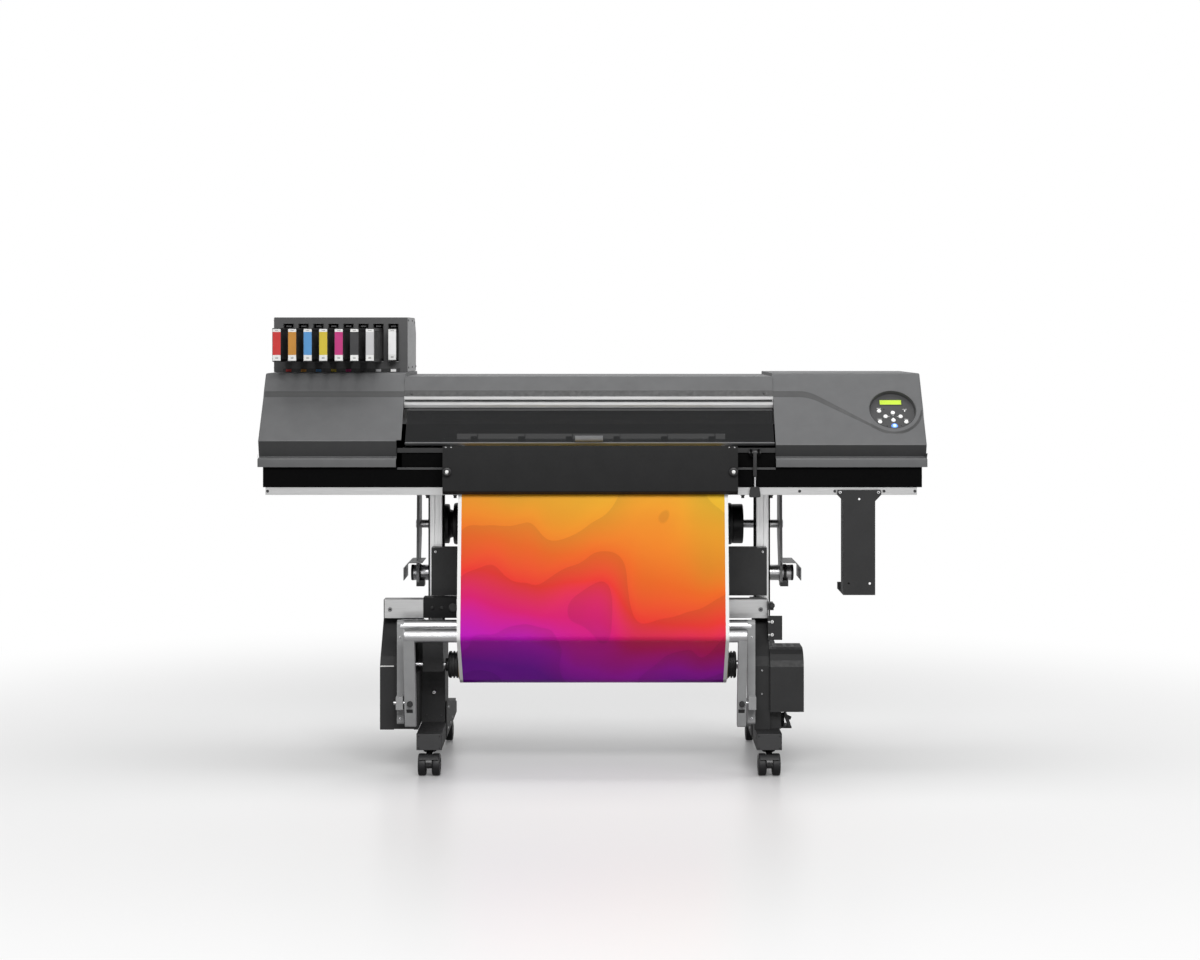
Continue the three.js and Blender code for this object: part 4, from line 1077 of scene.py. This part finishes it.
# The sheet box round the take-up shaft's left bearing, and the plate that joins the leg to the housing.
leg = Span("left_leg")
bearing = Shape()
bearing.plate("y", rounded(-485, -427, 285, 428, 1.5), [], 35, 37.2)
for x0, x1 in ((-485, -482.8), (-429.2, -427)):
    bearing.prism("x", filleted([(36, 285, 2), (leg.y0 + 4, 285, 2), (leg.y0 + 4, 345, 2), (99, 428, 4),
                                 (36, 428, 2)]), x0, x1)
bearing.box(-484, -428, 36, leg.y0 + 2, 285, 287.2)
bearing.box(-512.5, leg.x0 + 3, leg.y0 + 0.5, leg.y0 + 3, leg.z0, 428)
bearing.box(-512.5, -509.4, 152, leg.y0 + 2, leg.z0, 428)
bearing.box(-509.4, -497, 24, 150, 121, 285)
piece("takeup_bearing_box", bearing, ["dark_steel"], bevel=0.6)
slots = Shape()
for x in (-474, -464):
    slots.box(x, x + 6, 38, 41, 119.8, 120.25)
    slots.box(x + 6, x + 12, leg.y0 - 0.25, leg.y0 + 0.2, 126, 129)
piece("foot_slots", slots, ["black"])
pedal = Shape()
pedal.box(538, 570, 50, 116, 121, 124)
pedal.plate("y", filleted([(537, 122, 0), (553, 122, 0), (553, 158, 3), (537, 158, 3)]), [], 98, 101)
pedal.prism("y", filleted([(571, 121, 2), (562, 121, 2), (550, 152, 2), (550, 165, 2), (558, 160, 3)]), 52,
            92, 1)
pedal.rod((556, 66, 152), (569, 66, 147), 5.5, 24, 1)
pedal.turned(-Y_AXIS, [(-54, 0), (-54, 8), (-47, 8), (-45.5, 6.5), (-45.5, 0)], (514, 0, 472), 28, 1)
pedal.box(503, 519, 54, 100, 458, 478, 1)
piece("takeup_pedal", pedal, ["dark_steel", "black"], bevel=0.5)
screws("housing_side_screws", [(motor.x1, y, z) for y in (32, 122) for z in (180, 276)], X_AXIS,
       3)

guide, dancer = Span("upper_guide"), Span("dancer_frame")
PIPE = 18.75  # outer radius of the front guide pipes


def pipe(shape, x0, x1, y, z, paint):
    """A ground pipe with open, chamfered ends."""
    shape.turned(X_AXIS, [(x0, PIPE - 3), (x0, PIPE - 0.8), (x0 + 0.8, PIPE), (x1 - 0.8, PIPE),
                          (x1, PIPE - 0.8), (x1, PIPE - 3), (x0, PIPE - 3)], (0, y, z), 64, paint)


pivot = joint_point("dancer_swing")
arms = Shape()
for x0, x1 in ((guide.x0 + 3, guide.x0 + 23), (guide.x1 - 22, guide.x1)):
    view = filleted([(-18, 143, 9), (18, 143, 9), (18, 437, 14), (-18, 437, 14)])
    arms.plate("x", view, [circle(0, 190, 4, 16)], x0, x1)
    arms.box(x0, x1, pivot.y - 16, -17, pivot.z - 18, pivot.z + 18)
arms.box(guide.x0 + 4, guide.x0 + 22, 17, 25.2, 160, 240)
for z0, z1 in ((150, 200), (240, 280)):
    arms.box(455, 461.7, 10, 40, z0, z1)
pipe(arms, guide.x0 + 12, guide.x1 - 11, 0, 419, 1)
piece("upper_guide_frame", arms, ["grey_sheet", "pipe"], ["upper_guide"], bevel=0.8)
screws("guide_arm_screws", [(x, -18, z) for x in (guide.x0 + 13, guide.x1 - 11) for z in (160, 390)],
       -Y_AXIS, 3.4)

front_y, front_z = dancer.y0 + PIPE, dancer.z1 - PIPE
swing = Shape()
for x0, x1 in ((dancer.x0 + 27, dancer.x0 + 58), (409, 433.5)):
    view = filleted([(-48, 140, 7), (-14, 140, 7), (-20, 208, 30), (front_y + 18, front_z + 4, 8),
                     (front_y + 8, front_z + 18, 8), (front_y - 8, front_z + 18, 8),
                     (front_y - 18, front_z + 4, 8), (-62, 208, 30)])
    swing.prism("x", view, x0, x1)
    middle = (x0 + x1) / 2
    swing.prism("x", [(-54.5, 176), (-50, 176), (-56, 192), (-60.4, 192)], middle - 10, middle + 8, 2)
    swing.turned(-Y_AXIS, [(-(pivot.y - 18), 8), (-(pivot.y - 21), 8.5), (-(pivot.y - 29), 8.5),
                           (-(pivot.y - 31), 7), (-(pivot.y - 31), 0)], (middle, 0, pivot.z), 28, 2)
for x0, x1 in ((dancer.x0 - 5, dancer.x0 + 28), (425, dancer.x1)):
    swing.rod((x0, pivot.y, pivot.z), (x1, pivot.y, pivot.z), 5, 28, 3)
pipe(swing, dancer.x0 + 30, 433, front_y, front_z, 1)
piece("dancer_arms", swing, ["grey_sheet", "pipe", "black", "bright"], ["dancer_frame"],
      "dancer", bevel=0.8)


def holder_shaft(name, node, body, plates, hubs, rings, thick=None):
    """A media shaft with its two roll flanges; outside the thick part it has thinner journals."""
    box = Span(node)
    shaft = Shape()
    x0, x1 = thick or (box.x0, box.x1)
    shaft.rod((x0, box.y, box.z), (x1, box.y, box.z), 12.5, 40, 1, 1.0)
    if thick:
        shaft.rod((box.x0, box.y, box.z), (box.x1, box.y, box.z), 6.5, 32, 1, 1.0)
    for profile in plates:
        shaft.turned(X_AXIS, profile, (0, box.y, box.z), 64)
    for profile in hubs:
        shaft.turned(X_AXIS, profile, (0, box.y, box.z), 64)
    for x in rings:
        shaft.turned(X_AXIS, [(x - 3, 12.5), (x - 3, 15.5), (x + 3, 15.5), (x + 3, 12.5)],
                     (0, box.y, box.z), 40, 1)
    piece(name, shaft, ["black", "bright"], [node], body)


def flange(x0, x1, radius, core, steps=3):
    """A ribbed plastic roll flange between two places, with a plug that grips the core."""
    s = 1 if x1 > x0 else -1
    rib = (x1 - x0) / (2 * steps + 1)
    profile = [(x0, 12.5), (x0, radius - 4), (x0 + s, radius - 2)]
    for i in range(steps):
        a = x0 + rib * (2 * i + 1)
        profile += [(a, radius), (a + rib * 0.9, radius), (a + rib, radius - 4), (a + rib * 1.9, radius - 4)]
    return profile + [(x1, radius), (x1, core), (x1 + s * 26, core - 1.2), (x1 + s * 26, 12.5)]


roll = Span("takeup_roll")
holder_shaft("takeup_spindle", "takeup_shaft", "takeup",
             [flange(-412, roll.x0 - 0.6, 38.5, 38.0, 3), flange(411, roll.x1 + 0.6, 38.5, 38.0, 3)],
             [[(-421, 12.5), (-421, 17), (-419, 18.5), (-412, 18.5), (-412, 12.5)]], (), (-421, 416))
spare = Span("supply_roll")
holder_shaft("supply_spindle", "supply_shaft", "supply", [flange(-424, roll.x0 - 4, 63.5, 38.0, 3),
                                                          flange(424, roll.x1 + 4, 63.5, 38.0, 3)],
             [[(-453, 12.5), (-453, 58), (-451, 60), (-440, 60), (-438, 58), (-436, 44), (-430, 42),
               (-424, 42), (-424, 12.5)], [(424, 12.5), (424, 58), (426, 60), (455, 60), (457, 58),
                                           (457, 12.5)]], (-500, 500))


# ---- rolls and media -------------------------------------------------------------------------
def web_print():
    """Printed film: warm to violet down its length with soft wave bands, and plain white margins."""
    surface = Surface("printed_film", (0.8, 0.8, 0.8), 0.36)
    split = surface.node("ShaderNodeSeparateXYZ")
    surface.link(surface.coords.outputs["UV"], split.inputs[0])
    across, along = split.outputs["X"], split.outputs["Y"]

    def maths(kind, a, b):
        made = surface.node("ShaderNodeMath", operation=kind)
        for socket, value in zip(made.inputs, (a, b)):
            if isinstance(value, (int, float)):
                socket.default_value = value
            else:
                surface.link(value, socket)
        return made.outputs[0]

    swirl = surface.noise(1.5, 1.5, (1.4, 0.9, 1), "UV")
    waves = maths("MULTIPLY", maths("SUBTRACT", swirl, 0.5), 0.6)
    lean = maths("MULTIPLY", maths("SUBTRACT", across, 0.5), 0.24)
    tone = maths("ADD", maths("SUBTRACT", along, lean), waves)
    # The violet stops from 0.86 on, used by the film below the pipe bend and by the take-up roll, are the
    # print's own colour painted lighter to make up for the shade there.
    stops = [(0.0, (0.72, 0.46, 0.012)), (0.2, (0.78, 0.30, 0.008)), (0.4, (0.76, 0.12, 0.006)),
             (0.56, (0.74, 0.03, 0.02)), (0.7, (0.62, 0.004, 0.14)), (0.86, (0.44, 0.002, 0.46)),
             (1.0, (0.20, 0.001, 0.38))]
    ground = surface.ramp(tone, stops)
    bands = maths("FRACT", maths("MULTIPLY", maths("ADD", maths("MULTIPLY", swirl, 2.2), along), 3.2), 0.0)
    shade = surface.ramp(bands, [(0.0, 0.84), (0.75, 1.0), (0.985, 1.0), (1.0, 0.84)])
    art = surface.node("ShaderNodeMix", data_type="RGBA", blend_type="MULTIPLY")
    art.inputs[0].default_value = 1.0
    surface.link(ground, art.inputs[6])
    surface.link(shade, art.inputs[7])
    inside = maths("LESS_THAN", maths("ABSOLUTE", maths("SUBTRACT", across, 0.5), 0.0), 0.487)
    started = maths("GREATER_THAN", along, -0.42)
    page = surface.node("ShaderNodeMix", data_type="RGBA")
    surface.link(maths("MULTIPLY", inside, started), page.inputs[0])
    page.inputs[6].default_value = (0.8, 0.8, 0.79, 1)
    surface.link(art.outputs[2], page.inputs[7])
    surface.link(page.outputs[2], surface.shader.inputs["Base Color"])
    surface.set(Specular_IOR_Level=0.12, Coat_Weight=0.12, Coat_Roughness=0.14)
    surface.grain(5, 0.5, strength=0.12).grain(900, 0.03, strength=0.3)
    return surface


M["print"] = web_print()

RADIUS = bed.z1 - 905.0  # bend radius at both ends of the platen
THICK = 0.8  # drawn thickness of the film
roll_axis = Vector((roll.y, (roll.z0 + roll.z1) / 2))
supply_axis = Vector((spare.y, (spare.z0 + spare.z1) / 2))
supply_radius = (spare.z1 - spare.z0) / 2
roll_radius = (roll.z1 - roll.z0) / 2


def between(a, b, count):
    """Points from a to b, with a itself left out."""
    return [(a[0] + (b[0] - a[0]) * i / count, a[1] + (b[1] - a[1]) * i / count)
            for i in range(1, count + 1)]


gap = 0.3
bend_z = bed.z1 - RADIUS
rear_bend = arc(bed.y1 - RADIUS, bend_z, RADIUS + gap, 0, 90, 8)
nose_bend = arc(bed.y0 + RADIUS, bend_z, RADIUS + gap, 90, 190, 12)
pipe_bend = arc(front_y, front_z, PIPE + gap, 170, 225, 10)
roll_touch = (roll_axis.x - 37, roll_axis.y - 37.5)
rear_run = [(supply_axis.x + supply_radius + gap, supply_axis.y)]
rear_run += between(rear_run[0], rear_bend[0], 12)[:-1] + rear_bend
rear_run += between(rear_bend[-1], nose_bend[0], 24)[:-1] + nose_bend
drop_run = [nose_bend[-1]] + between(nose_bend[-1], pipe_bend[0], 60)[:-1] + pipe_bend
last_run = [pipe_bend[-1]] + between(pipe_bend[-1], roll_touch, 16)


def length_of(line):
    return sum((Vector(b) - Vector(a)).length for a, b in zip(line, line[1:]))


PRINT_LENGTH = length_of(drop_run) + length_of(last_run)


def film(name, line, start, body, columns=12):
    """A strip of film of even thickness along a side view; start is the length before it."""
    mesh = bmesh.new()
    uv = mesh.loops.layers.uv.new("film")
    rows, travelled = [], start
    for i, point in enumerate(line):
        before, after = Vector(line[max(i - 1, 0)]), Vector(line[min(i + 1, len(line) - 1)])
        along = (after - before).normalized()
        if i:
            travelled += (Vector(point) - Vector(line[i - 1])).length
        outer = Vector(point) + Vector((along.y, -along.x)) * THICK
        pair = []
        for y, z in (point, outer):
            pair.append([mesh.verts.new(((web.x0 + (web.x1 - web.x0) * c / columns) * MM, y * MM + LIP,
                                         z * MM)) for c in range(columns + 1)])
        rows.append((pair[0], pair[1], travelled / PRINT_LENGTH))
    place = {}
    for inner, outer, t in rows:
        for c in range(columns + 1):
            place[inner[c]] = place[outer[c]] = (c / columns, t)
    for (a_in, a_out, _), (b_in, b_out, _) in zip(rows, rows[1:]):
        for c in range(columns):
            mesh.faces.new((a_out[c], a_out[c + 1], b_out[c + 1], b_out[c]))
            mesh.faces.new((a_in[c], b_in[c], b_in[c + 1], a_in[c + 1])).material_index = 1
        for c in (0, columns):
            mesh.faces.new((a_in[c], a_out[c], b_out[c], b_in[c])).material_index = 1
    for inner, outer, _ in (rows[0], rows[-1]):
        for c in range(columns):
            mesh.faces.new((inner[c], inner[c + 1], outer[c + 1], outer[c])).material_index = 1
    bmesh.ops.recalc_face_normals(mesh, faces=mesh.faces)
    for face in mesh.faces:
        face.smooth = True
        for loop in face.loops:
            loop[uv].uv = place[loop.vert]
    data = bpy.data.meshes.new(name)
    mesh.to_mesh(data)
    mesh.free()
    data.set_sharp_from_angle(angle=math.radians(40))
    data.materials.append(M["print"].material)
    data.materials.append(M["paper"].material)
    thing = bpy.data.objects.new(name, data)
    bpy.context.collection.objects.link(thing)
    if body:
        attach(thing, body)
    return thing


rear_film = film("media_over_platen", rear_run, -length_of(rear_run), "frame")
drop_film = film("media_front_drop", drop_run, 0, None)
last_film = film("media_to_takeup", last_run, length_of(drop_run), None)
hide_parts("media_web")
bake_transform(drop_film)
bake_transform(last_film)


def wound(name, span, axis, radius, body, key, turns):
    """A roll of film on its card core, with the wound edges showing at both ends."""
    shape = Shape()
    x0, x1 = span.x0, span.x1
    core, bore = 42.0, 38.3
    at = (0, axis.x, axis.y)
    shape.turned(X_AXIS, [(x0, radius - 0.6), (x0 + 0.4, radius), (x1 - 0.4, radius), (x1, radius - 0.6)],
                 at, 96)
    for x, s in ((x0, -1), (x1, 1)):
        layers = [(x, radius - 0.6)]
        for i in range(turns):
            r = radius - 0.6 - (radius - 0.6 - core) * (i + 1) / turns
            layers += [(x + s * (0.5 if i % 2 else -0.3), r + 0.25), (x, r)]
        shape.turned(X_AXIS, layers, at, 96, 1)
        shape.turned(X_AXIS, [(x, core), (x + s * 3, core), (x + s * 3.4, core - 0.5),
                              (x + s * 3.4, bore + 0.4), (x + s * 3, bore), (x, bore)], at, 96, 2)
    shape.turned(X_AXIS, [(x0, bore), (x1, bore)], at, 96, 2)
    return piece(name, shape, [key, "paper", "core"], [name.replace("wound_", "")], body, crease=60)


wound_front = wound("wound_takeup_roll", roll, roll_axis, roll_radius, "takeup", "print", 6)
wound("wound_supply_roll", spare, supply_axis, supply_radius, "supply", "paper", 8)
wrap = wound_front.data.uv_layers.new(name="film")
for loop in wound_front.data.loops:
    x, y, z = wound_front.data.vertices[loop.vertex_index].co
    u = (x / MM - roll.x0) / (roll.x1 - roll.x0)
    turn = math.atan2(z / MM - roll_axis.y, (y - LIP) / MM - roll_axis.x)
    wrap.data[loop.index].uv = (u, 1.03 + 0.05 * math.cos(turn))

# ---- rear roll holder ------------------------------------------------------------------------
holder = Span("rear_roll_holder")
REAR_PIPE = Vector((0, 450, 526))  # axis of the pipe that guides the film at the back
SUPPLY_AT = (500, 670)  # depth and height of the supply shaft
carrier = Shape()
view = filleted([(416, 498, 6), (470, 498, 6), (534, 640, 20), (534, holder.z1, 3), (440, holder.z1, 3),
                 (416, 560, 16)])
for x0, x1 in ((-533, -525), (565, 573)):
    carrier.plate("x", view, [circle(*SUPPLY_AT, 13.2, 32), circle(490, 780, 5, 16)], x0, x1)
carrier.turned(X_AXIS, [(holder.x0, 20), (holder.x0, 22.5), (holder.x0 + 1, 23.5), (holder.x1 - 1, 23.5),
                        (holder.x1, 22.5), (holder.x1, 20), (holder.x0, 20)], REAR_PIPE, 64, 1)
piece("rear_carrier", carrier, ["grey_sheet", "pipe"], ["rear_roll_holder"], bevel=0.6)
fittings = Shape()
for x, s in ((holder.x0, -1), (holder.x1, 1)):
    fittings.turned(X_AXIS * s, [(x * s - 26, 23.6), (x * s - 26, 25.4), (x * s - 17, 25.4),
                                 (x * s - 17, 23.6)], REAR_PIPE, 48)
    fittings.turned(X_AXIS * s, [(x * s - 3, 23.9), (x * s + 3.5, 23.9), (x * s + 4.5, 22.5),
                                 (x * s + 4.5, 0)], REAR_PIPE, 48)
    a, b = sorted((x - s * 36, x - s * 12))
    fittings.prism("x", filleted([(424, 486, 3), (476, 486, 3), (476, 505, 4), (424, 505, 4)]), a, b)
    guard = [(x - s * 36, 566), (x + s * 4, 566), (x + s * 21, 549), (x + s * 21, 512), (x + s * 18.5, 512),
             (x + s * 18.5, 548), (x + s * 3, 563.5), (x - s * 36, 563.5)]
    fittings.prism("y", guard, 350, 500, 1)
    fittings.box(a + 2, b - 2, 438, 456, 796, 812, 0)
piece("rear_pipe_fittings", fittings, ["dark", "grey_sheet"], bevel=0.6)
bearings = Shape()
for x, s in ((-533, -1), (573, 1)):
    bearings.turned(X_AXIS * s, [(x * s, 13.3), (x * s, 22), (x * s + 3, 21), (x * s + 3, 13.3),
                                 (x * s, 13.3)], (0, *SUPPLY_AT), 40)
piece("supply_bearings", bearings, ["black"])

# ---- back of the machine ---------------------------------------------------------------------
rear = chassis.y1
service = Shape()
service.prism("y", rounded(560, 660, 826, 862, 3), rear - 0.4, rear + 1.6)
service.prism("y", rounded(572, 606, 833, 855, 2), rear + 1.2, rear + 5.5, 1)
service.prism("y", rounded(577, 601, 838, 850, 1), rear + 5.2, rear + 5.8, 2)
service.prism("y", rounded(620, 642, 835, 853, 2), rear + 1.2, rear + 4.2, 1)
service.prism("y", rounded(623, 639, 838, 850, 1.5), rear + 4.0, rear + 6.2, 2)
piece("power_inlet", service, ["grey_sheet", "black", "dark"], bevel=0.4)
grilles = Shape()
for x0 in (-860, -700, 700, 790):
    for i in range(6):
        z = 822 + 7 * i
        grilles.prism("y", rounded(x0, x0 + 70, z, z + 3.4, 1.6, 3), rear - 0.5, rear + 1.0)
piece("rear_vents", grilles, ["dark"], bevel=0.3)
top_rear = left.y1
for side, box in (("left", left), ("right", right)):
    places = [(x, top_rear, z) for x in (box.x0 + 25, box.x, box.x1 - 25) for z in (895, 1105)]
    screws(f"{side}_cover_rear_screws", places, Y_AXIS, 4.2)
    slots = Shape()
    for i in range(9):
        z = 950 + 12 * i
        slots.prism("y", rounded(box.x - 70, box.x + 70, z, z + 4, 1.9, 3), top_rear - 0.4, top_rear + 0.8)
    piece(f"{side}_cover_rear_vents", slots, ["black"], bevel=0.3)
screws("top_cover_rear_screws", [(x, top.y1, 1098) for x in range(int(top.x0) + 40, int(top.x1), 245)],
       Y_AXIS, 4)
screws("rear_wall_screws", [(x, rear, 842) for x in (-910, -640, -480, 470, 690, 910)], Y_AXIS,
       4)
screws("rail_screws", [(x, 14, 802) for x in (-925, 590, 690, 830, 918)], -Y_AXIS, 4.2,
       ("dark", "black"))
bolts = Shape()
for x in (-471, -392, 429, 510):
    bolts.turned(-Z_AXIS, [(-792, 0), (-792, 6.5), (-788, 6.5), (-788, 4.5), (-781, 4.5), (-781, 0)],
                 (x, 30, 0), 12)
piece("rail_bolts", bolts, ["black"], bevel=0.3)
side_screws = [(left.x0, y, z) for y in (60, 330, 560) for z in (890, 1090) if not (y == 60 and z > 900)]
screws("left_cover_side_screws", side_screws, -X_AXIS, 4)
screws("right_cover_side_screws", [(right.x1, y, z) for _, y, z in side_screws], X_AXIS, 4)


# ---- stage, light and camera -----------------------------------------------------------------
def stage_floor():
    """A white floor that melts into the background away from the machine."""
    data = bpy.data.meshes.new("studio_floor")
    data.from_pydata([(-30, -30, 0), (30, -30, 0), (30, 30, 0), (-30, 30, 0)], [], [(0, 1, 2, 3)])
    floor = bpy.data.objects.new("studio_floor", data)
    floor.location.z = -0.0005
    bpy.context.collection.objects.link(floor)
    surface = Surface("studio_floor", (0.64, 0.64, 0.64), 0.3)
    surface.set(Specular_IOR_Level=0.25)
    spread = surface.node("ShaderNodeVectorMath", operation="LENGTH")
    surface.link(surface.coords.outputs["Object"], spread.inputs[0])
    rays = surface.node("ShaderNodeLightPath")

    def glow(strength):
        light = surface.node("ShaderNodeEmission")
        light.inputs["Strength"].default_value = strength
        return light.outputs[0]

    def fading(near, far, start):
        """Rises from start to 1 between two distances from the middle of the floor, in metres."""
        fade = surface.node("ShaderNodeMapRange", interpolation_type="SMOOTHSTEP")
        for socket, value in (("From Min", near), ("From Max", far), ("To Min", start), ("To Max", 1.0)):
            fade.inputs[socket].default_value = value
        surface.link(spread.outputs["Value"], fade.inputs["Value"])
        return fade.outputs["Result"]

    def mixed(share, first, second):
        mix = surface.node("ShaderNodeMixShader")
        for source, target in zip((share, first, second), mix.inputs):
            surface.link(source, target)
        return mix.outputs[0]

    dim = surface.node("ShaderNodeBsdfDiffuse")
    dim.inputs["Color"].default_value = (0.3, 0.3, 0.3, 1)
    glossy = surface.node("ShaderNodeMath", operation="MULTIPLY")
    surface.link(fading(1.0, 4.0, 0.1), glossy.inputs[0])
    surface.link(rays.outputs["Is Glossy Ray"], glossy.inputs[1])
    unseen = mixed(glossy.outputs[0], dim.outputs[0], glow(0.6))
    ground = mixed(fading(1.2, 3.3, 0.08), surface.shader.outputs[0], glow(1.0))
    seen = mixed(rays.outputs["Is Camera Ray"], unseen, ground)
    surface.link(seen, surface.tree.nodes["Material Output"].inputs["Surface"])
    data.materials.append(surface.material)


def softbox(name, place, aim, size, watts, only_gloss=False, no_gloss=False):
    """A rectangular lamp; it can be left out of the diffuse light or of the reflections."""
    data = bpy.data.lights.new(name, "AREA")
    data.shape = "RECTANGLE"
    data.size, data.size_y = size
    data.energy = watts
    lamp = bpy.data.objects.new(name, data)
    lamp.location = place
    lamp.rotation_euler = (Vector(aim) - Vector(place)).to_track_quat("-Z", "Y").to_euler()
    bpy.context.collection.objects.link(lamp)
    lamp.visible_camera = False
    lamp.visible_diffuse = not only_gloss
    lamp.visible_glossy = not no_gloss


def studio_world():
    """White behind the machine; softer greys where the background lights it or is mirrored in it."""
    world = bpy.data.worlds.new("studio")
    bpy.context.scene.world = world
    world.use_nodes = True
    tree = world.node_tree
    tree.nodes.clear()
    out = tree.nodes.new("ShaderNodeOutputWorld")
    rays = tree.nodes.new("ShaderNodeLightPath")
    shades = []
    for strength in (0.16, 0.62, 1.0):  # for diffuse rays, for glossy rays, for the camera
        shade = tree.nodes.new("ShaderNodeBackground")
        shade.inputs["Color"].default_value = (1, 1, 1, 1)
        shade.inputs["Strength"].default_value = strength
        shades.append(shade.outputs[0])
    for ray, shade in (("Is Glossy Ray", shades[1]), ("Is Camera Ray", shades[2])):
        mix = tree.nodes.new("ShaderNodeMixShader")
        tree.links.new(rays.outputs[ray], mix.inputs[0])
        tree.links.new(shades[0], mix.inputs[1])
        tree.links.new(shade, mix.inputs[2])
        shades[0] = mix.outputs[0]
    tree.links.new(shades[0], out.inputs["Surface"])


stage_floor()
studio_world()
MIDDLE = (0, 0, 0.8)  # what the lamps aim at
softbox("key", (0.3, -5.2, 4.0), MIDDLE, (4.2, 2.2), 320)
softbox("overhead", (0, 0.2, 4.2), MIDDLE, (4.0, 2.0), 130, no_gloss=True)
softbox("low_strip", (0, -3.4, 0.12), (0, -0.36, 0.4), (3.2, 0.35), 7, only_gloss=True)
softbox("side_right", (4.6, -1.4, 2.2), MIDDLE, (2.0, 2.4), 45)
softbox("side_left", (-4.6, -1.0, 2.2), MIDDLE, (2.0, 2.4), 25)
softbox("back", (0, 4.6, 3.2), MIDDLE, (4.0, 2.0), 150, no_gloss=True)

CAMERA_AT = (0.0215, -6.866, 1.247)  # metres, level with the top of the machine
LENS = 69.69
SHIFT = -0.121  # moves the picture down without tilting the camera
scene = bpy.context.scene
scene.view_settings.view_transform = "Standard"
camera_data = bpy.data.cameras.new("camera")
camera_data.sensor_width = 36.0
camera_data.lens = LENS
camera_data.shift_y = SHIFT
camera = bpy.data.objects.new("camera", camera_data)
camera.location = CAMERA_AT
camera.rotation_euler = (math.radians(90), 0, 0)
bpy.context.collection.objects.link(camera)
scene.camera = camera
